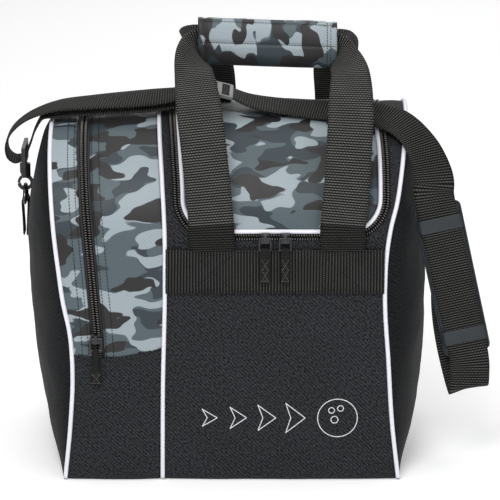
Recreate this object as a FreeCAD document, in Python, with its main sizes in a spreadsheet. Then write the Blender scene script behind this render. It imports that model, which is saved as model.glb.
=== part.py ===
import FreeCAD, Part
import math
import os
import re

# Single-ball bowling bag with a shoe compartment on its left, as a parametric document.
# The bag stands on its base panel: X runs across the front, Y runs from front to back and
# Z runs up. The origin is the middle of the base. Sizes are in millimetres.

doc = FreeCAD.newDocument("ball_bag")
sheet = doc.addObject("Spreadsheet::Sheet", "sizes")

SIZES = [
    ("half_depth", 122.0, "half of the bag from front to back, and the arch's radius"),
    ("wall", 4.0, "padded fabric wall"),
    ("base_thick", 4.0, "base fabric"),
    ("ball_arch_z", 240.0, "centre height of the arch over the ball compartment"),
    ("shoe_arch_z", 228.0, "centre height of the arch over the shoe compartment"),
    ("seam_left", -172.0, "left piped seam"),
    ("seam_mid", -70.0, "piped seam between the two compartments"),
    ("seam_right", 164.0, "right piped seam"),
    ("piping", 4.0, "width of a piping"),
    ("piping_proud", 2.0, "how far a piping stands out of the fabric"),
    ("gusset_left", 209.0, "how far the left side bulges out from the middle of the bag"),
    ("gusset_right", 198.5, "how far the right side bulges out"),
    ("lid_left", -50.0, "left edge of the lid"),
    ("lid_right", 147.0, "right edge of the lid"),
    ("lid_front_z", 258.0, "front edge of the lid"),
    ("lid_corner", 30.0, "radius of the lid's front corners"),
    ("lid_hinge_z", 300.0, "height of the sewn hinge line at the back"),
    ("lid_gap", 0.4, "running gap beside the lid"),
    ("tape_wide", 9.0, "visible width of the main zipper's tape"),
    ("coil_wide", 5.0, "width of a zipper's coil"),
    ("shoe_zip_x", -136.0, "middle of the shoe compartment's zipper"),
    ("shoe_zip_half", 6.0, "half of that zipper's tape"),
    ("shoe_zip_low_z", 141.0, "lower end of that zipper"),
    ("camo_low_z", 137.0, "lower edge of the printed upper panel"),
    ("band_low_z", 196.0, "lower edge of the webbing bands"),
    ("band_high_z", 241.0, "upper edge of the webbing bands"),
    ("webbing", 2.0, "thickness of all webbing"),
    ("handle_wide", 45.0, "width of the handle webbing"),
    ("leg_left", -19.0, "middle of the left handle leg at the band"),
    ("leg_right", 110.0, "middle of the right handle leg at the band"),
    ("strap_wide", 40.0, "width of the shoulder strap"),
    ("wrap_left", -34.5, "left end of the handle wrap"),
    ("wrap_right", 107.0, "right end of the handle wrap"),
    ("wrap_z", 427.0, "middle height of the handle wrap"),
    ("wrap_tall", 44.0, "height of the handle wrap"),
    ("wrap_deep", 40.0, "depth of the handle wrap"),
    ("wrap_wall", 3.0, "padded wall of the handle wrap"),
    ("cup_high", 36.0, "height of the foam ball cup"),
    ("cup_outer", 92.0, "outer radius of the ball cup"),
    ("cup_inner", 62.0, "radius of the hole that holds the ball"),
    ("ring_arm", 15.0, "radius of a D-ring's bow"),
    ("ring_wire", 2.0, "radius of a D-ring's wire"),
    ("eye_outer", 8.0, "outer radius of a snap hook's eye"),
    ("eye_inner", 5.2, "inner radius of a snap hook's eye"),
    ("hook_thick", 6.0, "thickness of a snap hook"),
    ("pad_wide", 47.0, "width of the shoulder pad"),
    ("pad_long", 157.0, "length of the shoulder pad"),
    ("pad_thick", 6.0, "thickness of the shoulder pad"),
]
for row, (alias, value, note) in enumerate(SIZES, start=1):
    sheet.set(f"A{row}", str(value))
    sheet.setAlias(f"A{row}", alias)
    sheet.set(f"B{row}", note)
doc.recompute()
size = {alias: sheet.get(alias) for alias, _, _ in SIZES}
nodes = []


# ---------------------------------------------------------------- building blocks

def cell(text):
    """An expression in which each name is a cell of the sheet."""
    return re.sub(r"[a-z]\w*", lambda found: "sizes." + found.group(), str(text))


def keep(item):
    """Marks a finished sub-part, which is written to a file of its own."""
    nodes.append(item)
    return item


def place(item, at, turn=None):
    """Puts an item at a point of three expressions, turned by (axis, degrees)."""
    if turn:
        item.Placement.Rotation = FreeCAD.Rotation(FreeCAD.Vector(*turn[0]), turn[1])
    for axis, text in zip("xyz", at):
        item.setExpression(f"Placement.Base.{axis}", cell(text))
    return item


def box(label, low, high):
    """A box between two corners."""
    item = doc.addObject("Part::Box", label)
    for side, a, b in zip(("Length", "Width", "Height"), low, high):
        item.setExpression(side, cell(f"({b}) - ({a})"))
    return place(item, low)


def rod(label, radius, length, at, turn=None):
    """A cylinder that starts at a point and runs along the turned Z axis."""
    item = doc.addObject("Part::Cylinder", label)
    item.setExpression("Radius", cell(radius))
    item.setExpression("Height", cell(length))
    return place(item, at, turn)


def fuse(label, *items):
    """One solid from several."""
    item = doc.addObject("Part::MultiFuse", label)
    item.Shapes = list(items)
    return item


def common(label, *items):
    """What several solids share."""
    item = doc.addObject("Part::MultiCommon", label)
    item.Shapes = list(items)
    return item


def cut(label, base, tool):
    """One solid less another."""
    item = doc.addObject("Part::Cut", label)
    item.Base = base
    item.Tool = tool
    return item


ALONG_X = ((0, 1, 0), 90)
ALONG_Y = ((1, 0, 0), -90)


def ribbon(stations, thick):
    """Webbing through stations of (point, direction across, width), as one ruled solid."""
    points = [FreeCAD.Vector(*point) for point, _, _ in stations]
    sections = []
    for number, (_, across, width) in enumerate(stations):
        ahead = points[min(number + 1, len(points) - 1)]
        behind = points[max(number - 1, 0)]
        run = (ahead - behind).normalize()
        side = FreeCAD.Vector(*across)
        side = (side - run * side.dot(run)).normalize()
        out = run.cross(side) * (thick / 2)
        side = side * (width / 2)
        middle = points[number]
        corners = [middle + side + out, middle - side + out, middle - side - out, middle + side - out]
        sections.append(Part.makePolygon(corners + corners[:1]))
    return Part.makeLoft(sections, True, True)


def coded(label, shape):
    """A sub-part whose shape comes from code that reads the sheet."""
    item = doc.addObject("Part::Feature", label)
    item.Shape = shape
    return item


# ---------------------------------------------------------------- the two arched shells

def arch(label, centre_z, inset, left, right):
    """The bag's side profile, straight up and then round, extruded across the bag."""
    width = f"({right}) - ({left})"
    round_top = rod(label + "_top", f"half_depth - ({inset})", width, (left, 0, centre_z), ALONG_X)
    trunk = box(
        label + "_trunk",
        (left, f"({inset}) - half_depth", "base_thick"),
        (right, f"half_depth - ({inset})", centre_z),
    )
    return fuse(label, round_top, trunk)


OUT_LEFT = "-gusset_left - 10"
OUT_RIGHT = "gusset_right + 10"
ball_shell = cut(
    "ball_shell",
    arch("ball_arch", "ball_arch_z", "0", OUT_LEFT, OUT_RIGHT),
    arch("ball_hollow", "ball_arch_z", "wall", OUT_LEFT, OUT_RIGHT),
)
shoe_shell = cut(
    "shoe_shell",
    arch("shoe_arch", "shoe_arch_z", "0", OUT_LEFT, OUT_RIGHT),
    arch("shoe_hollow", "shoe_arch_z", "wall", OUT_LEFT, OUT_RIGHT),
)

BALL_LEFT = "seam_mid + piping / 2"
BALL_RIGHT = "seam_right - piping / 2"
SHOE_LEFT = "seam_left + piping / 2"
SHOE_RIGHT = "seam_mid - piping / 2"
FRONT = "-half_depth - 20"
BACK = "half_depth + 20"
TOP = "ball_arch_z + half_depth + 20"


# ---------------------------------------------------------------- base and inside

def base_and_inside():
    """Fabric base, stiff board, wall between the compartments, foam liners and ball cup."""
    keep(box("base_panel", ("seam_left - 3", "-half_depth", 0),
             ("seam_right + 8.5", "half_depth", "base_thick")))
    keep(box("base_board", ("seam_left + 3", "wall + 0.5 - half_depth", "base_thick"),
             ("seam_right", "half_depth - wall - 0.5", "base_thick + 4")))
    profile = arch("divider_profile", "shoe_arch_z", "wall", "seam_mid - 1", "seam_mid + 1")
    above_board = box("divider_room", ("seam_mid - 1", FRONT, "base_thick + 4"),
                      ("seam_mid + 1", BACK, TOP))
    keep(common("divider_wall", profile, above_board))
    for name, low, high in (
        ("front_foam_liner", "wall + 0.2 - half_depth", "wall + 3.2 - half_depth"),
        ("back_foam_liner", "half_depth - wall - 3.2", "half_depth - wall - 0.2"),
    ):
        keep(box(name, ("seam_mid + 3", low, "base_thick + 4"),
                 ("seam_right - 2", high, "ball_arch_z - 6")))
    middle = "(lid_left + lid_right) / 2"
    ring = rod("cup_ring", "cup_outer", "cup_high", (middle, 0, "base_thick + 4"))
    hole = rod("cup_hole", "cup_inner", "cup_high", (middle, 0, "base_thick + 8"))
    keep(cut("ball_cup", ring, hole))


# ---------------------------------------------------------------- outer fabric panels

def lid_outline(label, margin, back_z):
    """The lid's outline grown by a margin: round corners at the front, straight at the back."""
    front = box(
        label + "_front",
        (f"lid_left - ({margin})", FRONT, f"lid_front_z - ({margin})"),
        (f"lid_right + ({margin})", 0, TOP),
    )
    doc.recompute()
    low_z = front.Shape.BoundBox.ZMin
    corners = [
        number
        for number, edge in enumerate(front.Shape.Edges, start=1)
        if edge.BoundBox.YLength > 1 and edge.BoundBox.ZMax < low_z + 1
    ]
    radius = size["lid_corner"] + front.Shape.BoundBox.XMax - size["lid_right"]
    rounded = doc.addObject("Part::Fillet", label + "_rounded")
    rounded.Base = front
    rounded.Edges = [(number, radius, radius) for number in corners]
    rear = box(
        label + "_rear",
        (f"lid_left - ({margin})", -1, back_z),
        (f"lid_right + ({margin})", BACK, TOP),
    )
    return fuse(label, rounded, rear)


def body_panels():
    """Front and back panels of the ball compartment, and the strips beside the lid."""
    keep(common(
        "front_panel", ball_shell,
        box("front_panel_room", (BALL_LEFT, FRONT, "base_thick"),
            (BALL_RIGHT, 0, "lid_front_z - tape_wide")),
    ))
    keep(common(
        "back_panel", ball_shell,
        box("back_panel_room", (BALL_LEFT, 0, "base_thick"), (BALL_RIGHT, BACK, "lid_hinge_z - 0.4")),
    ))
    around_tape = lid_outline("around_tape", "tape_wide", "lid_hinge_z - 1")
    for name, left, right in (
        ("left_top_strip", BALL_LEFT, "(lid_left + lid_right) / 2"),
        ("right_top_strip", "(lid_left + lid_right) / 2", BALL_RIGHT),
    ):
        room = fuse(
            name + "_room",
            box(name + "_front", (left, FRONT, "lid_front_z - tape_wide"), (right, 0, TOP)),
            box(name + "_rear", (left, 0, "lid_hinge_z - 0.4"), (right, BACK, TOP)),
        )
        keep(cut(name, common(name + "_band", ball_shell, room), around_tape))


def shoe_panels():
    """Printed upper panel over the shoe compartment, slit for its zipper, and plain lower panels."""
    room = box("shoe_upper_room", (SHOE_LEFT, FRONT, "camo_low_z"), (SHOE_RIGHT, BACK, TOP))
    slit = shoe_zip_room("shoe_slit", "shoe_zip_half")
    keep(cut("shoe_upper_panel", common("shoe_upper_band", shoe_shell, room), slit))
    for name, low, high in (
        ("shoe_lower_front", FRONT, 0),
        ("shoe_lower_back", 0, BACK),
    ):
        keep(common(name, shoe_shell, box(
            name + "_room", (SHOE_LEFT, low, "base_thick"), (SHOE_RIGHT, high, "camo_low_z"))))


def shoe_zip_room(label, half):
    """The strip that the shoe zipper takes, up the front and over the top to the back."""
    left = f"shoe_zip_x - ({half})"
    right = f"shoe_zip_x + ({half})"
    front = box(label + "_front", (left, FRONT, "shoe_zip_low_z"), (right, 0, TOP))
    rear = box(label + "_rear", (left, -1, "shoe_arch_z + half_depth * 0.7"), (right, BACK, TOP))
    return fuse(label, front, rear)


def gusset(label, arch_z, bulge, widest_z, foot, side):
    """A side panel bulging in plan and in elevation, as a shell inside three curved surfaces."""
    seam_reach = "seam_right" if side > 0 else "(-seam_left)"
    plan = f"({bulge} - {seam_reach})"
    plan_radius = f"(half_depth * half_depth + {plan} * {plan}) / (2 * {plan})"
    rise = f"({bulge} - {foot})"
    rise_radius = f"({widest_z} * {widest_z} + {rise} * {rise}) / (2 * {rise})"
    seam = "seam_right + piping / 2" if side > 0 else "seam_left - piping / 2"
    far = OUT_RIGHT if side > 0 else OUT_LEFT
    low_x, high_x = (seam, far) if side > 0 else (far, seam)
    skins = []
    for name, inset in ((label + "_skin", "0"), (label + "_hollow", "wall")):
        profile = arch(name + "_arch", arch_z, inset, low_x, high_x)
        sign = "" if side > 0 else "-"
        in_plan = rod(
            name + "_plan", f"{plan_radius} - {inset}", "2 * ball_arch_z",
            (f"{sign}({bulge} - {plan_radius})", 0, 0),
        )
        in_elevation = rod(
            name + "_elevation", f"{rise_radius} - {inset}", "3 * half_depth",
            (f"{sign}({bulge} - {rise_radius})", "-1.5 * half_depth", widest_z), ALONG_Y,
        )
        skins.append(common(name, profile, in_plan, in_elevation))
    keep(cut(label, skins[0], skins[1]))


def pipings():
    """The white cords sewn into the three seams that run over the bag."""
    for label, seam, arch_z in (
        ("left_piping", "seam_left", "shoe_arch_z"),
        ("middle_piping", "seam_mid", "ball_arch_z"),
        ("right_piping", "seam_right", "ball_arch_z"),
    ):
        left = f"{seam} - piping / 2"
        right = f"{seam} + piping / 2"
        outer = arch(label + "_outer", arch_z, "-piping_proud", left, right)
        inner = arch(label + "_inner", arch_z, "wall", left, right)
        keep(cut(label, outer, inner))
    # the taller arch of the ball compartment is closed above the divider
    taller = arch("step_arch", "ball_arch_z", "wall", "seam_mid - 1", "seam_mid + 1")
    lower = arch("step_hollow", "shoe_arch_z", "wall", "seam_mid - 2", "seam_mid + 2")
    keep(cut("step_panel", taller, lower))


# ---------------------------------------------------------------- lid and zippers

def lid():
    """The printed lid, its piping and lining, hinged along its sewn back edge."""
    whole = lid_outline("lid_whole", "0", "lid_hinge_z + 0.4")
    inside = lid_outline("lid_inside", "-3.5", "lid_hinge_z + 0.4")
    keep(common("lid_panel", ball_shell, inside))
    proud_shell = cut(
        "lid_piping_shell",
        arch("lid_piping_outer", "ball_arch_z", "-piping_proud", "lid_left - 5", "lid_right + 5"),
        arch("lid_piping_inner", "ball_arch_z", "wall", "lid_left - 5", "lid_right + 5"),
    )
    rim = common("lid_rim", proud_shell, whole)
    keep(cut("lid_piping", rim, lid_outline("lid_rim_room", "-3.5", "lid_hinge_z - 5")))
    lining_shell = cut(
        "lining_shell",
        arch("lining_outer", "ball_arch_z", "wall + 0.1", "lid_left - 5", "lid_right + 5"),
        arch("lining_inner", "ball_arch_z", "wall + 1.4", "lid_left - 5", "lid_right + 5"),
    )
    keep(common("lid_lining", lining_shell, lid_outline("lining_room", "-2", "lid_hinge_z + 1")))


def zip_shell(label, arch_z, low, high):
    """A thin shell between two insets of an arch, for tapes and coils."""
    return cut(
        label,
        arch(label + "_outer", arch_z, low, OUT_LEFT, OUT_RIGHT),
        arch(label + "_inner", arch_z, high, OUT_LEFT, OUT_RIGHT),
    )


def main_zipper():
    """The zipper round the lid's front and sides."""
    rear_z = "lid_hinge_z - 0.4"
    around = cut("tape_room", lid_outline("tape_outer", "tape_wide", rear_z),
                 lid_outline("tape_inner", "lid_gap", "lid_hinge_z - 5"))
    keep(common("main_zipper_tape", zip_shell("tape_shell", "ball_arch_z", "1", "wall"), around))
    on_tape = cut("coil_room", lid_outline("coil_outer", "2 + coil_wide", rear_z),
                  lid_outline("coil_inner", "2", "lid_hinge_z - 5"))
    keep(common("main_zipper_coil", zip_shell("coil_shell", "ball_arch_z", "-1", "1"), on_tape))


def shoe_zipper():
    """The zipper up the front of the shoe compartment and over its top."""
    keep(common("shoe_zipper_tape", zip_shell("shoe_tape_shell", "shoe_arch_z", "1", "wall"),
                shoe_zip_room("shoe_tape_room", "shoe_zip_half")))
    coil = common("shoe_coil_full", zip_shell("shoe_coil_shell", "shoe_arch_z", "-1", "1"),
                  shoe_zip_room("shoe_coil_room", "coil_wide / 2"))
    keep(coil)
    coil.Label = "shoe_zipper_coil"


def slider(label, x, surface_y, z):
    """Zipper slider: its top plate with the bridge that carries the pull."""
    plate = box(label + "_plate", (f"{x} - 4.5", f"{surface_y} - 4.6", f"{z} - 6"),
                (f"{x} + 4.5", f"{surface_y} - 1.4", f"{z} + 4.1"))
    bridge = box(label + "_bridge", (f"{x} - 1.5", f"{surface_y} - 9.8", f"{z} - 4"),
                 (f"{x} + 1.5", f"{surface_y} - 4.6", f"{z} + 4"))
    eye = rod(label + "_eye", "1.3", "9", (f"{x} - 4.5", f"{surface_y} - 7.6", z), ALONG_X)
    keep(cut(label, fuse(label + "_whole", plate, bridge), eye))


def pull(label, x, surface_y, z, tail_wide, tail_long):
    """Wire loop through the slider's bridge, and the webbing tail that it carries."""
    out_y = f"{surface_y} - 7.6"
    pin = rod(label + "_pin", "0.9", "11.2", (f"{x} - 5.6", out_y, z), ALONG_X)
    arms = [
        rod(f"{label}_arm{number}", "0.9", "12", (f"{x} + {reach}", out_y, f"{z} - 12"))
        for number, reach in enumerate(("(-5.6)", "5.6"))
    ]
    foot = rod(label + "_foot", "0.9", "11.2", (f"{x} - 5.6", out_y, f"{z} - 12"), ALONG_X)
    corners = []
    for number, (reach, height) in enumerate((("(-5.6)", 0), ("5.6", 0), ("(-5.6)", -12), ("5.6", -12))):
        ball = doc.addObject("Part::Sphere", f"{label}_corner{number}")
        ball.Radius = 0.9
        corners.append(place(ball, (f"{x} + {reach}", out_y, f"{z} + ({height})")))
    keep(fuse(label + "_loop", pin, foot, *arms, *corners))
    half = f"{tail_wide} / 2"
    tail = box(label + "_strip", (f"{x} - {half}", f"{out_y} - 2.1", f"{z} - 12 - ({tail_long})"),
               (f"{x} + {half}", f"{out_y} + 2.1", f"{z} - 9.4"))
    channel = rod(label + "_channel", "1", f"{tail_wide}", (f"{x} - {half}", out_y, f"{z} - 12"), ALONG_X)
    keep(cut(label + "_tail", tail, channel))


# ---------------------------------------------------------------- bands and handles

def bands():
    """Webbing bands across the ball compartment, sewn over the ends of the handles."""
    for name, low, high, under_low, under_high in (
        ("front", "-half_depth - 2 * webbing - 0.2", "-half_depth - webbing - 0.2",
         "-half_depth - webbing", "-half_depth"),
        ("back", "half_depth + webbing + 0.2", "half_depth + 2 * webbing + 0.2",
         "half_depth", "half_depth + webbing"),
    ):
        keep(box(name + "_band", (BALL_LEFT, low, "band_low_z"), (BALL_RIGHT, high, "band_high_z")))
        ends = [
            box(f"{name}_end_{leg}", (f"{leg} - handle_wide / 2", under_low, "band_low_z + 2"),
                (f"{leg} + handle_wide / 2", under_high, "band_high_z - 2"))
            for leg in ("leg_left", "leg_right")
        ]
        group = doc.addObject("Part::Compound", name + "_handle_ends")
        group.Links = ends
        keep(group)


def handles():
    """Two loops of webbing that rise from the bands and meet in the wrap."""
    wide = size["handle_wide"]
    left = size["leg_left"]
    right = size["leg_right"]
    grip_z = size["wrap_z"]
    # depth outside the middle and height of each station, from the band to the wrap
    rise = [
        (126.2, 243.5), (127.8, 262), (126, 300), (117.5, 345), (98, 382), (66, 408), (34, 420),
        (8.5, grip_z),
    ]
    spread = {
        "front": (
            [0, -1, -4, -9, -15, -20, -28, -29],
            [0, 0, 3, 6, 8, 9, 10, 12],
            [wide, wide, wide, wide, wide, 0.84 * wide, 0.5 * wide, 0.42 * wide],
        ),
        "back": (
            [0, 0, 0, 0, -3, -10, -28, -30],
            [0, 0, 0, -1, -3, 1, 11, 13],
            [wide, wide, wide, wide, wide, 0.84 * wide, 0.5 * wide, 0.42 * wide],
        ),
    }
    for name, sign in (("front", -1), ("back", 1)):
        lefts, rights, widths = spread[name]
        legs = []
        for start, shifts in ((left, lefts), (right, rights)):
            stations = [
                ((start + shift, sign * y, z), (1, 0, 0), width)
                for (y, z), shift, width in zip(rise, shifts, widths)
            ]
            legs.append(ribbon(stations, size["webbing"]))
        grip = Part.makeBox(
            right + rights[-1] - left - lefts[-1] + 18, 6, 26,
            FreeCAD.Vector(left + lefts[-1] - 9, sign * 8.5 - 3, grip_z - 13),
        )
        loop = legs[0].fuse([legs[1], grip])
        keep(coded(name + "_handle_webbing", loop))


def wrap():
    """Padded sleeve round both grips: a C-shaped body, a front flap and its two fastener strips."""
    low_z = "wrap_z - wrap_tall / 2"
    high_z = "wrap_z + wrap_tall / 2"
    back_y = "wrap_deep / 2"
    ends = ("wrap_left", "wrap_right")
    sleeve = [
        box("wrap_floor", (ends[0], "-15", low_z), (ends[1], back_y, f"{low_z} + wrap_wall")),
        box("wrap_back", (ends[0], f"{back_y} - wrap_wall", low_z), (ends[1], back_y, high_z)),
        box("wrap_roof", (ends[0], "-14.9", f"{high_z} - wrap_wall"), (ends[1], back_y, high_z)),
        box("wrap_under_flap", (ends[0], "-14.9", "wrap_z + 1"), (ends[1], "-12.5", high_z)),
    ]
    keep(fuse("wrap_sleeve", *sleeve))
    keep(box("wrap_flap", (ends[0], "-wrap_deep / 2", f"{low_z} + 0.5"), (ends[1], "-16.5", high_z)))
    strip_low = "wrap_z + 4"
    strip_high = "wrap_z + 19"
    keep(box("wrap_hook_strip", (f"{ends[0]} + 12", "-16.5", strip_low),
             (f"{ends[1]} - 12", "-15.9", strip_high)))
    keep(box("wrap_loop_strip", (f"{ends[0]} + 12", "-15.5", strip_low),
             (f"{ends[1]} - 12", "-14.9", strip_high)))


# ---------------------------------------------------------------- strap hardware

def hook_set(side, pivot, lean, hook_turn, tab_turn):
    """D-ring in its webbing tab, and the swivel snap hook that holds it.

    The pieces are drawn about the D-ring's bar, with the hook above it and its gate on +X,
    and then turned and moved to the side of the bag.
    """
    spot = FreeCAD.Vector(*pivot)
    turned = FreeCAD.Placement(spot, FreeCAD.Rotation(FreeCAD.Vector(0, 1, 0), lean) * hook_turn)
    tab_at = FreeCAD.Placement(spot, tab_turn)

    def own(name):
        return f"{side}_{name}"

    bow = doc.addObject("Part::Torus", own("bow"))
    bow.setExpression("Radius1", cell("ring_arm"))
    bow.setExpression("Radius2", cell("ring_wire"))
    bow.Angle3 = 180
    bow.Placement.Rotation = FreeCAD.Rotation(FreeCAD.Vector(0, 1, 0), 90) * FreeCAD.Rotation(
        FreeCAD.Vector(0, 0, 1), 90)
    bar = rod(own("bar"), "ring_wire", "2 * ring_arm", (0, "-ring_arm", 0), ALONG_Y)
    knees = []
    for number, reach in enumerate(("-ring_arm", "ring_arm")):
        knee = doc.addObject("Part::Sphere", own(f"knee{number}"))
        knee.setExpression("Radius", cell("ring_wire"))
        knees.append(place(knee, (0, reach, 0)))
    ring = keep(fuse(own("d_ring"), bow, bar, *knees))

    fold = rod(own("fold"), "ring_wire + 1.6", "25", (0, -12.5, 0), ALONG_Y)
    tail = box(own("tail"), ("-2.8", "-12.5", "-36"), ("2.8", "12.5", "0"))
    hole = rod(own("fold_hole"), "ring_wire + 0.1", "27", (0, -13.5, 0), ALONG_Y)
    tab = keep(cut(own("ring_tab"), fuse(own("tab_whole"), fold, tail), hole))

    eye_z = "ring_arm - ring_wire - 0.5 + eye_inner"
    half = "hook_thick / 2"
    disc = rod(own("eye_disc"), "eye_outer", "hook_thick", (0, f"-({half})", eye_z), ALONG_Y)
    neck = rod(own("neck"), "5.5", "14", (0, 0, f"{eye_z} + eye_outer - 2"))
    hollow = rod(own("eye_hollow"), "eye_inner", "hook_thick + 2", (0, f"-({half}) - 1", eye_z), ALONG_Y)
    bore = rod(own("neck_bore"), "2.45", "14", (0, 0, f"{eye_z} + eye_outer + 3"))
    solid = cut(own("hook_solid"), fuse(own("hook_whole"), disc, neck), fuse(own("hook_voids"), hollow, bore))
    middle_z = size["ring_arm"] - size["ring_wire"] - 0.5 + size["eye_inner"]
    gate_gap = sector(own("gate_gap"), middle_z, -12, 66, 3, 12, size["hook_thick"] + 2)
    hook = keep(cut(own("snap_hook"), solid, gate_gap))

    arm_radius = (size["eye_inner"] + size["eye_outer"]) / 2
    arm = sector(own("gate_arm"), middle_z, 1, 48, size["eye_inner"], size["eye_outer"], 4.8)
    pivot_x = arm_radius * math.cos(math.radians(50))
    pivot_z = middle_z + arm_radius * math.sin(math.radians(50))
    boss = rod(own("gate_boss"), "(eye_outer - eye_inner) / 2", "4.8", (pivot_x, -2.4, pivot_z), ALONG_Y)
    gate = keep(fuse(own("hook_gate"), arm, boss))

    frame_z = f"{eye_z} + eye_outer + 13"
    plate = box(own("frame_plate"), ("-2", "-25", frame_z), ("2", "25", f"{frame_z} + 20"))
    slot = box(own("frame_slot"), ("-3", "-21", f"{frame_z} + 4"), ("3", "21", f"{frame_z} + 15"))
    stem = rod(own("frame_stem"), "2.4", "9", (0, 0, f"{frame_z} - 9"))
    swivel = keep(fuse(own("strap_frame"), cut(own("frame_open"), plate, slot), stem))

    for item in (ring, hook, gate, swivel):
        item.Placement = turned
    tab.Placement = tab_at
    for name, local in (("gate pivot", (pivot_x, 0, pivot_z)), ("swivel", (0, 0, 40))):
        print(own(name), [round(value, 2) for value in turned.multVec(FreeCAD.Vector(*local))])


def sector(label, middle_z, start, end, inner, outer, thick):
    """A piece of a ring about the hook's eye, between two angles from +X towards +Z."""
    def point(radius, angle):
        turn = math.radians(angle)
        return FreeCAD.Vector(radius * math.cos(turn), -thick / 2, middle_z + radius * math.sin(turn))

    half = (start + end) / 2
    edges = [
        Part.Arc(point(outer, start), point(outer, half), point(outer, end)).toShape(),
        Part.makeLine(point(outer, end), point(inner, end)),
        Part.Arc(point(inner, end), point(inner, half), point(inner, start)).toShape(),
        Part.makeLine(point(inner, start), point(outer, start)),
    ]
    face = Part.Face(Part.Wire(edges))
    return coded(label, face.extrude(FreeCAD.Vector(0, thick, 0)))


# ---------------------------------------------------------------- shoulder strap

LEFT_RING = (-212.5, 0, 262)
RIGHT_RING = (200, 0, 280)
RIGHT_LEAN = -8
PAD_TOP = FreeCAD.Vector(204, -95, 279.5)
PAD_END = FreeCAD.Vector(238, -95, 126)


def strap_stations():
    """The strap's route, from its sewn end on the adjuster to its sewn end on the right frame."""
    flat = (0, 1, 0.21)
    facing = (0.976, 0, 0.217)
    run = (PAD_END - PAD_TOP).normalize()
    before_pad = PAD_TOP - run * 13 + FreeCAD.Vector(0, -4.8, 0)
    after_pad = PAD_END + run * 6 + FreeCAD.Vector(0, -4.8, 0)
    # around the bar of the right frame, offsets across and along the leaning hook
    lean = math.radians(RIGHT_LEAN)
    down = FreeCAD.Vector(-math.sin(lean), 0, -math.cos(lean))
    out = FreeCAD.Vector(math.cos(lean), 0, -math.sin(lean))
    ring = FreeCAD.Vector(*RIGHT_RING)

    def at_frame(across, along):
        point = ring + out * across + down * along
        return tuple(point)

    route = [
        # lower layer, from the adjuster to the left snap hook
        ((-1, -26, 374.5), (0, 1, 0.06)), ((-41, -26, 372), (0, 1, 0.12)), ((-83, -25, 367.5), flat),
        ((-140, -18, 361.5), (0, 1, 0.14)), ((-176, -9, 355.5), (0, 1, 0.06)),
        ((-191.5, -5, 351.5), (0, 1, 0.03)), ((-200.5, -3, 338), (0, 1, 0)),
        ((-207, -1, 320), (0, 1, 0)), ((-212.5, 0, 308.5), (0, 1, 0)),
        # loop outside the hook
        ((-221, 0, 304.5), (0, 1, 0)), ((-228.5, 0, 309), (0, 1, 0)), ((-231, 0, 319), (0, 1, 0)),
        ((-226, -1, 333.5), (0, 1, 0)), ((-210, -3, 348.5), (0, 1, 0)),
        # upper layer, through the adjuster and over the lid
        ((-180, -9, 361.5), (0, 1, 0.06)), ((-140, -18, 368), (0, 1, 0.14)), ((-83, -25, 374), flat),
        ((-51, -26, 378.5), (0, 1, 0.12)), ((-25, -26, 384.5), (0, 1, 0.05)),
        ((-3, -26, 379.5), (0, 1, 0.06)), ((19, -27, 371), (0, 1, 0.14)),
        ((58, -29, 365), flat), ((101, -36, 363), (0, 1, 0.3)),
        ((148, -48, 361), (0, 1, 0.42)),
        # down the right side, turning to face the front
        ((172, -62, 353), (0.25, 0.85, 0.4)), ((189, -76, 337), (0.5, 0.7, 0.35)),
        ((199, -90, 317), (0.8, 0.5, 0.3)), ((201.5, -97.5, 303), (0.95, 0.15, 0.22)),
        # flat along the pad, then the fold below it
        (tuple(before_pad), facing), (tuple(after_pad), facing),
        ((240, -99, 104), facing), ((239.5, -97, 92), facing), ((238.5, -92.5, 88), facing),
        ((236.5, -88.5, 93), facing),
        # back up behind the pad to the right snap hook
        ((229, -77, 120), (0.93, 0.25, 0.25)), ((221, -54, 153), (0.75, 0.62, 0.15)),
        ((215, -26, 186), (0.35, 0.93, 0)), ((213, -8, 204), (0.05, 1, 0)),
        (at_frame(4.2, 65), (0, 1, 0)), (at_frame(4.2, 56), (0, 1, 0)), (at_frame(3, 51), (0, 1, 0)),
        (at_frame(0, 49), (0, 1, 0)), (at_frame(-3, 51), (0, 1, 0)), (at_frame(-4.2, 56), (0, 1, 0)),
        (at_frame(-3.6, 68), (0, 1, 0)), (at_frame(-1, 84), (0, 1, 0)),
    ]
    return [(point, across, size["strap_wide"]) for point, across in route]


def shoulder_strap():
    """The strap's webbing in one length, and the adjuster that it is threaded through."""
    stations = strap_stations()
    keep(coded("shoulder_strap", ribbon(stations, size["webbing"])))
    points = [FreeCAD.Vector(*point) for point, _, _ in stations]
    length = sum((b - a).Length for a, b in zip(points, points[1:]))
    print("strap length", round(length))
    outline = box("adjuster_plate", ("-14", "-24.5", "-1.5"), ("14", "24.5", "1.5"))
    slots = [
        box(f"adjuster_slot{number}", (low, "-21", "-2.5"), (high, "21", "2.5"))
        for number, (low, high) in enumerate((("-10.5", "-2.5"), ("2.5", "10.5")))
    ]
    adjuster = keep(cut("strap_adjuster", outline, fuse("adjuster_slots", *slots)))
    adjuster.Placement = FreeCAD.Placement(
        FreeCAD.Vector(-13, -26, 382.5), FreeCAD.Rotation(FreeCAD.Vector(0, 1, 0), 14)
        * FreeCAD.Rotation(FreeCAD.Vector(1, 0, 0), 3))


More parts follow.
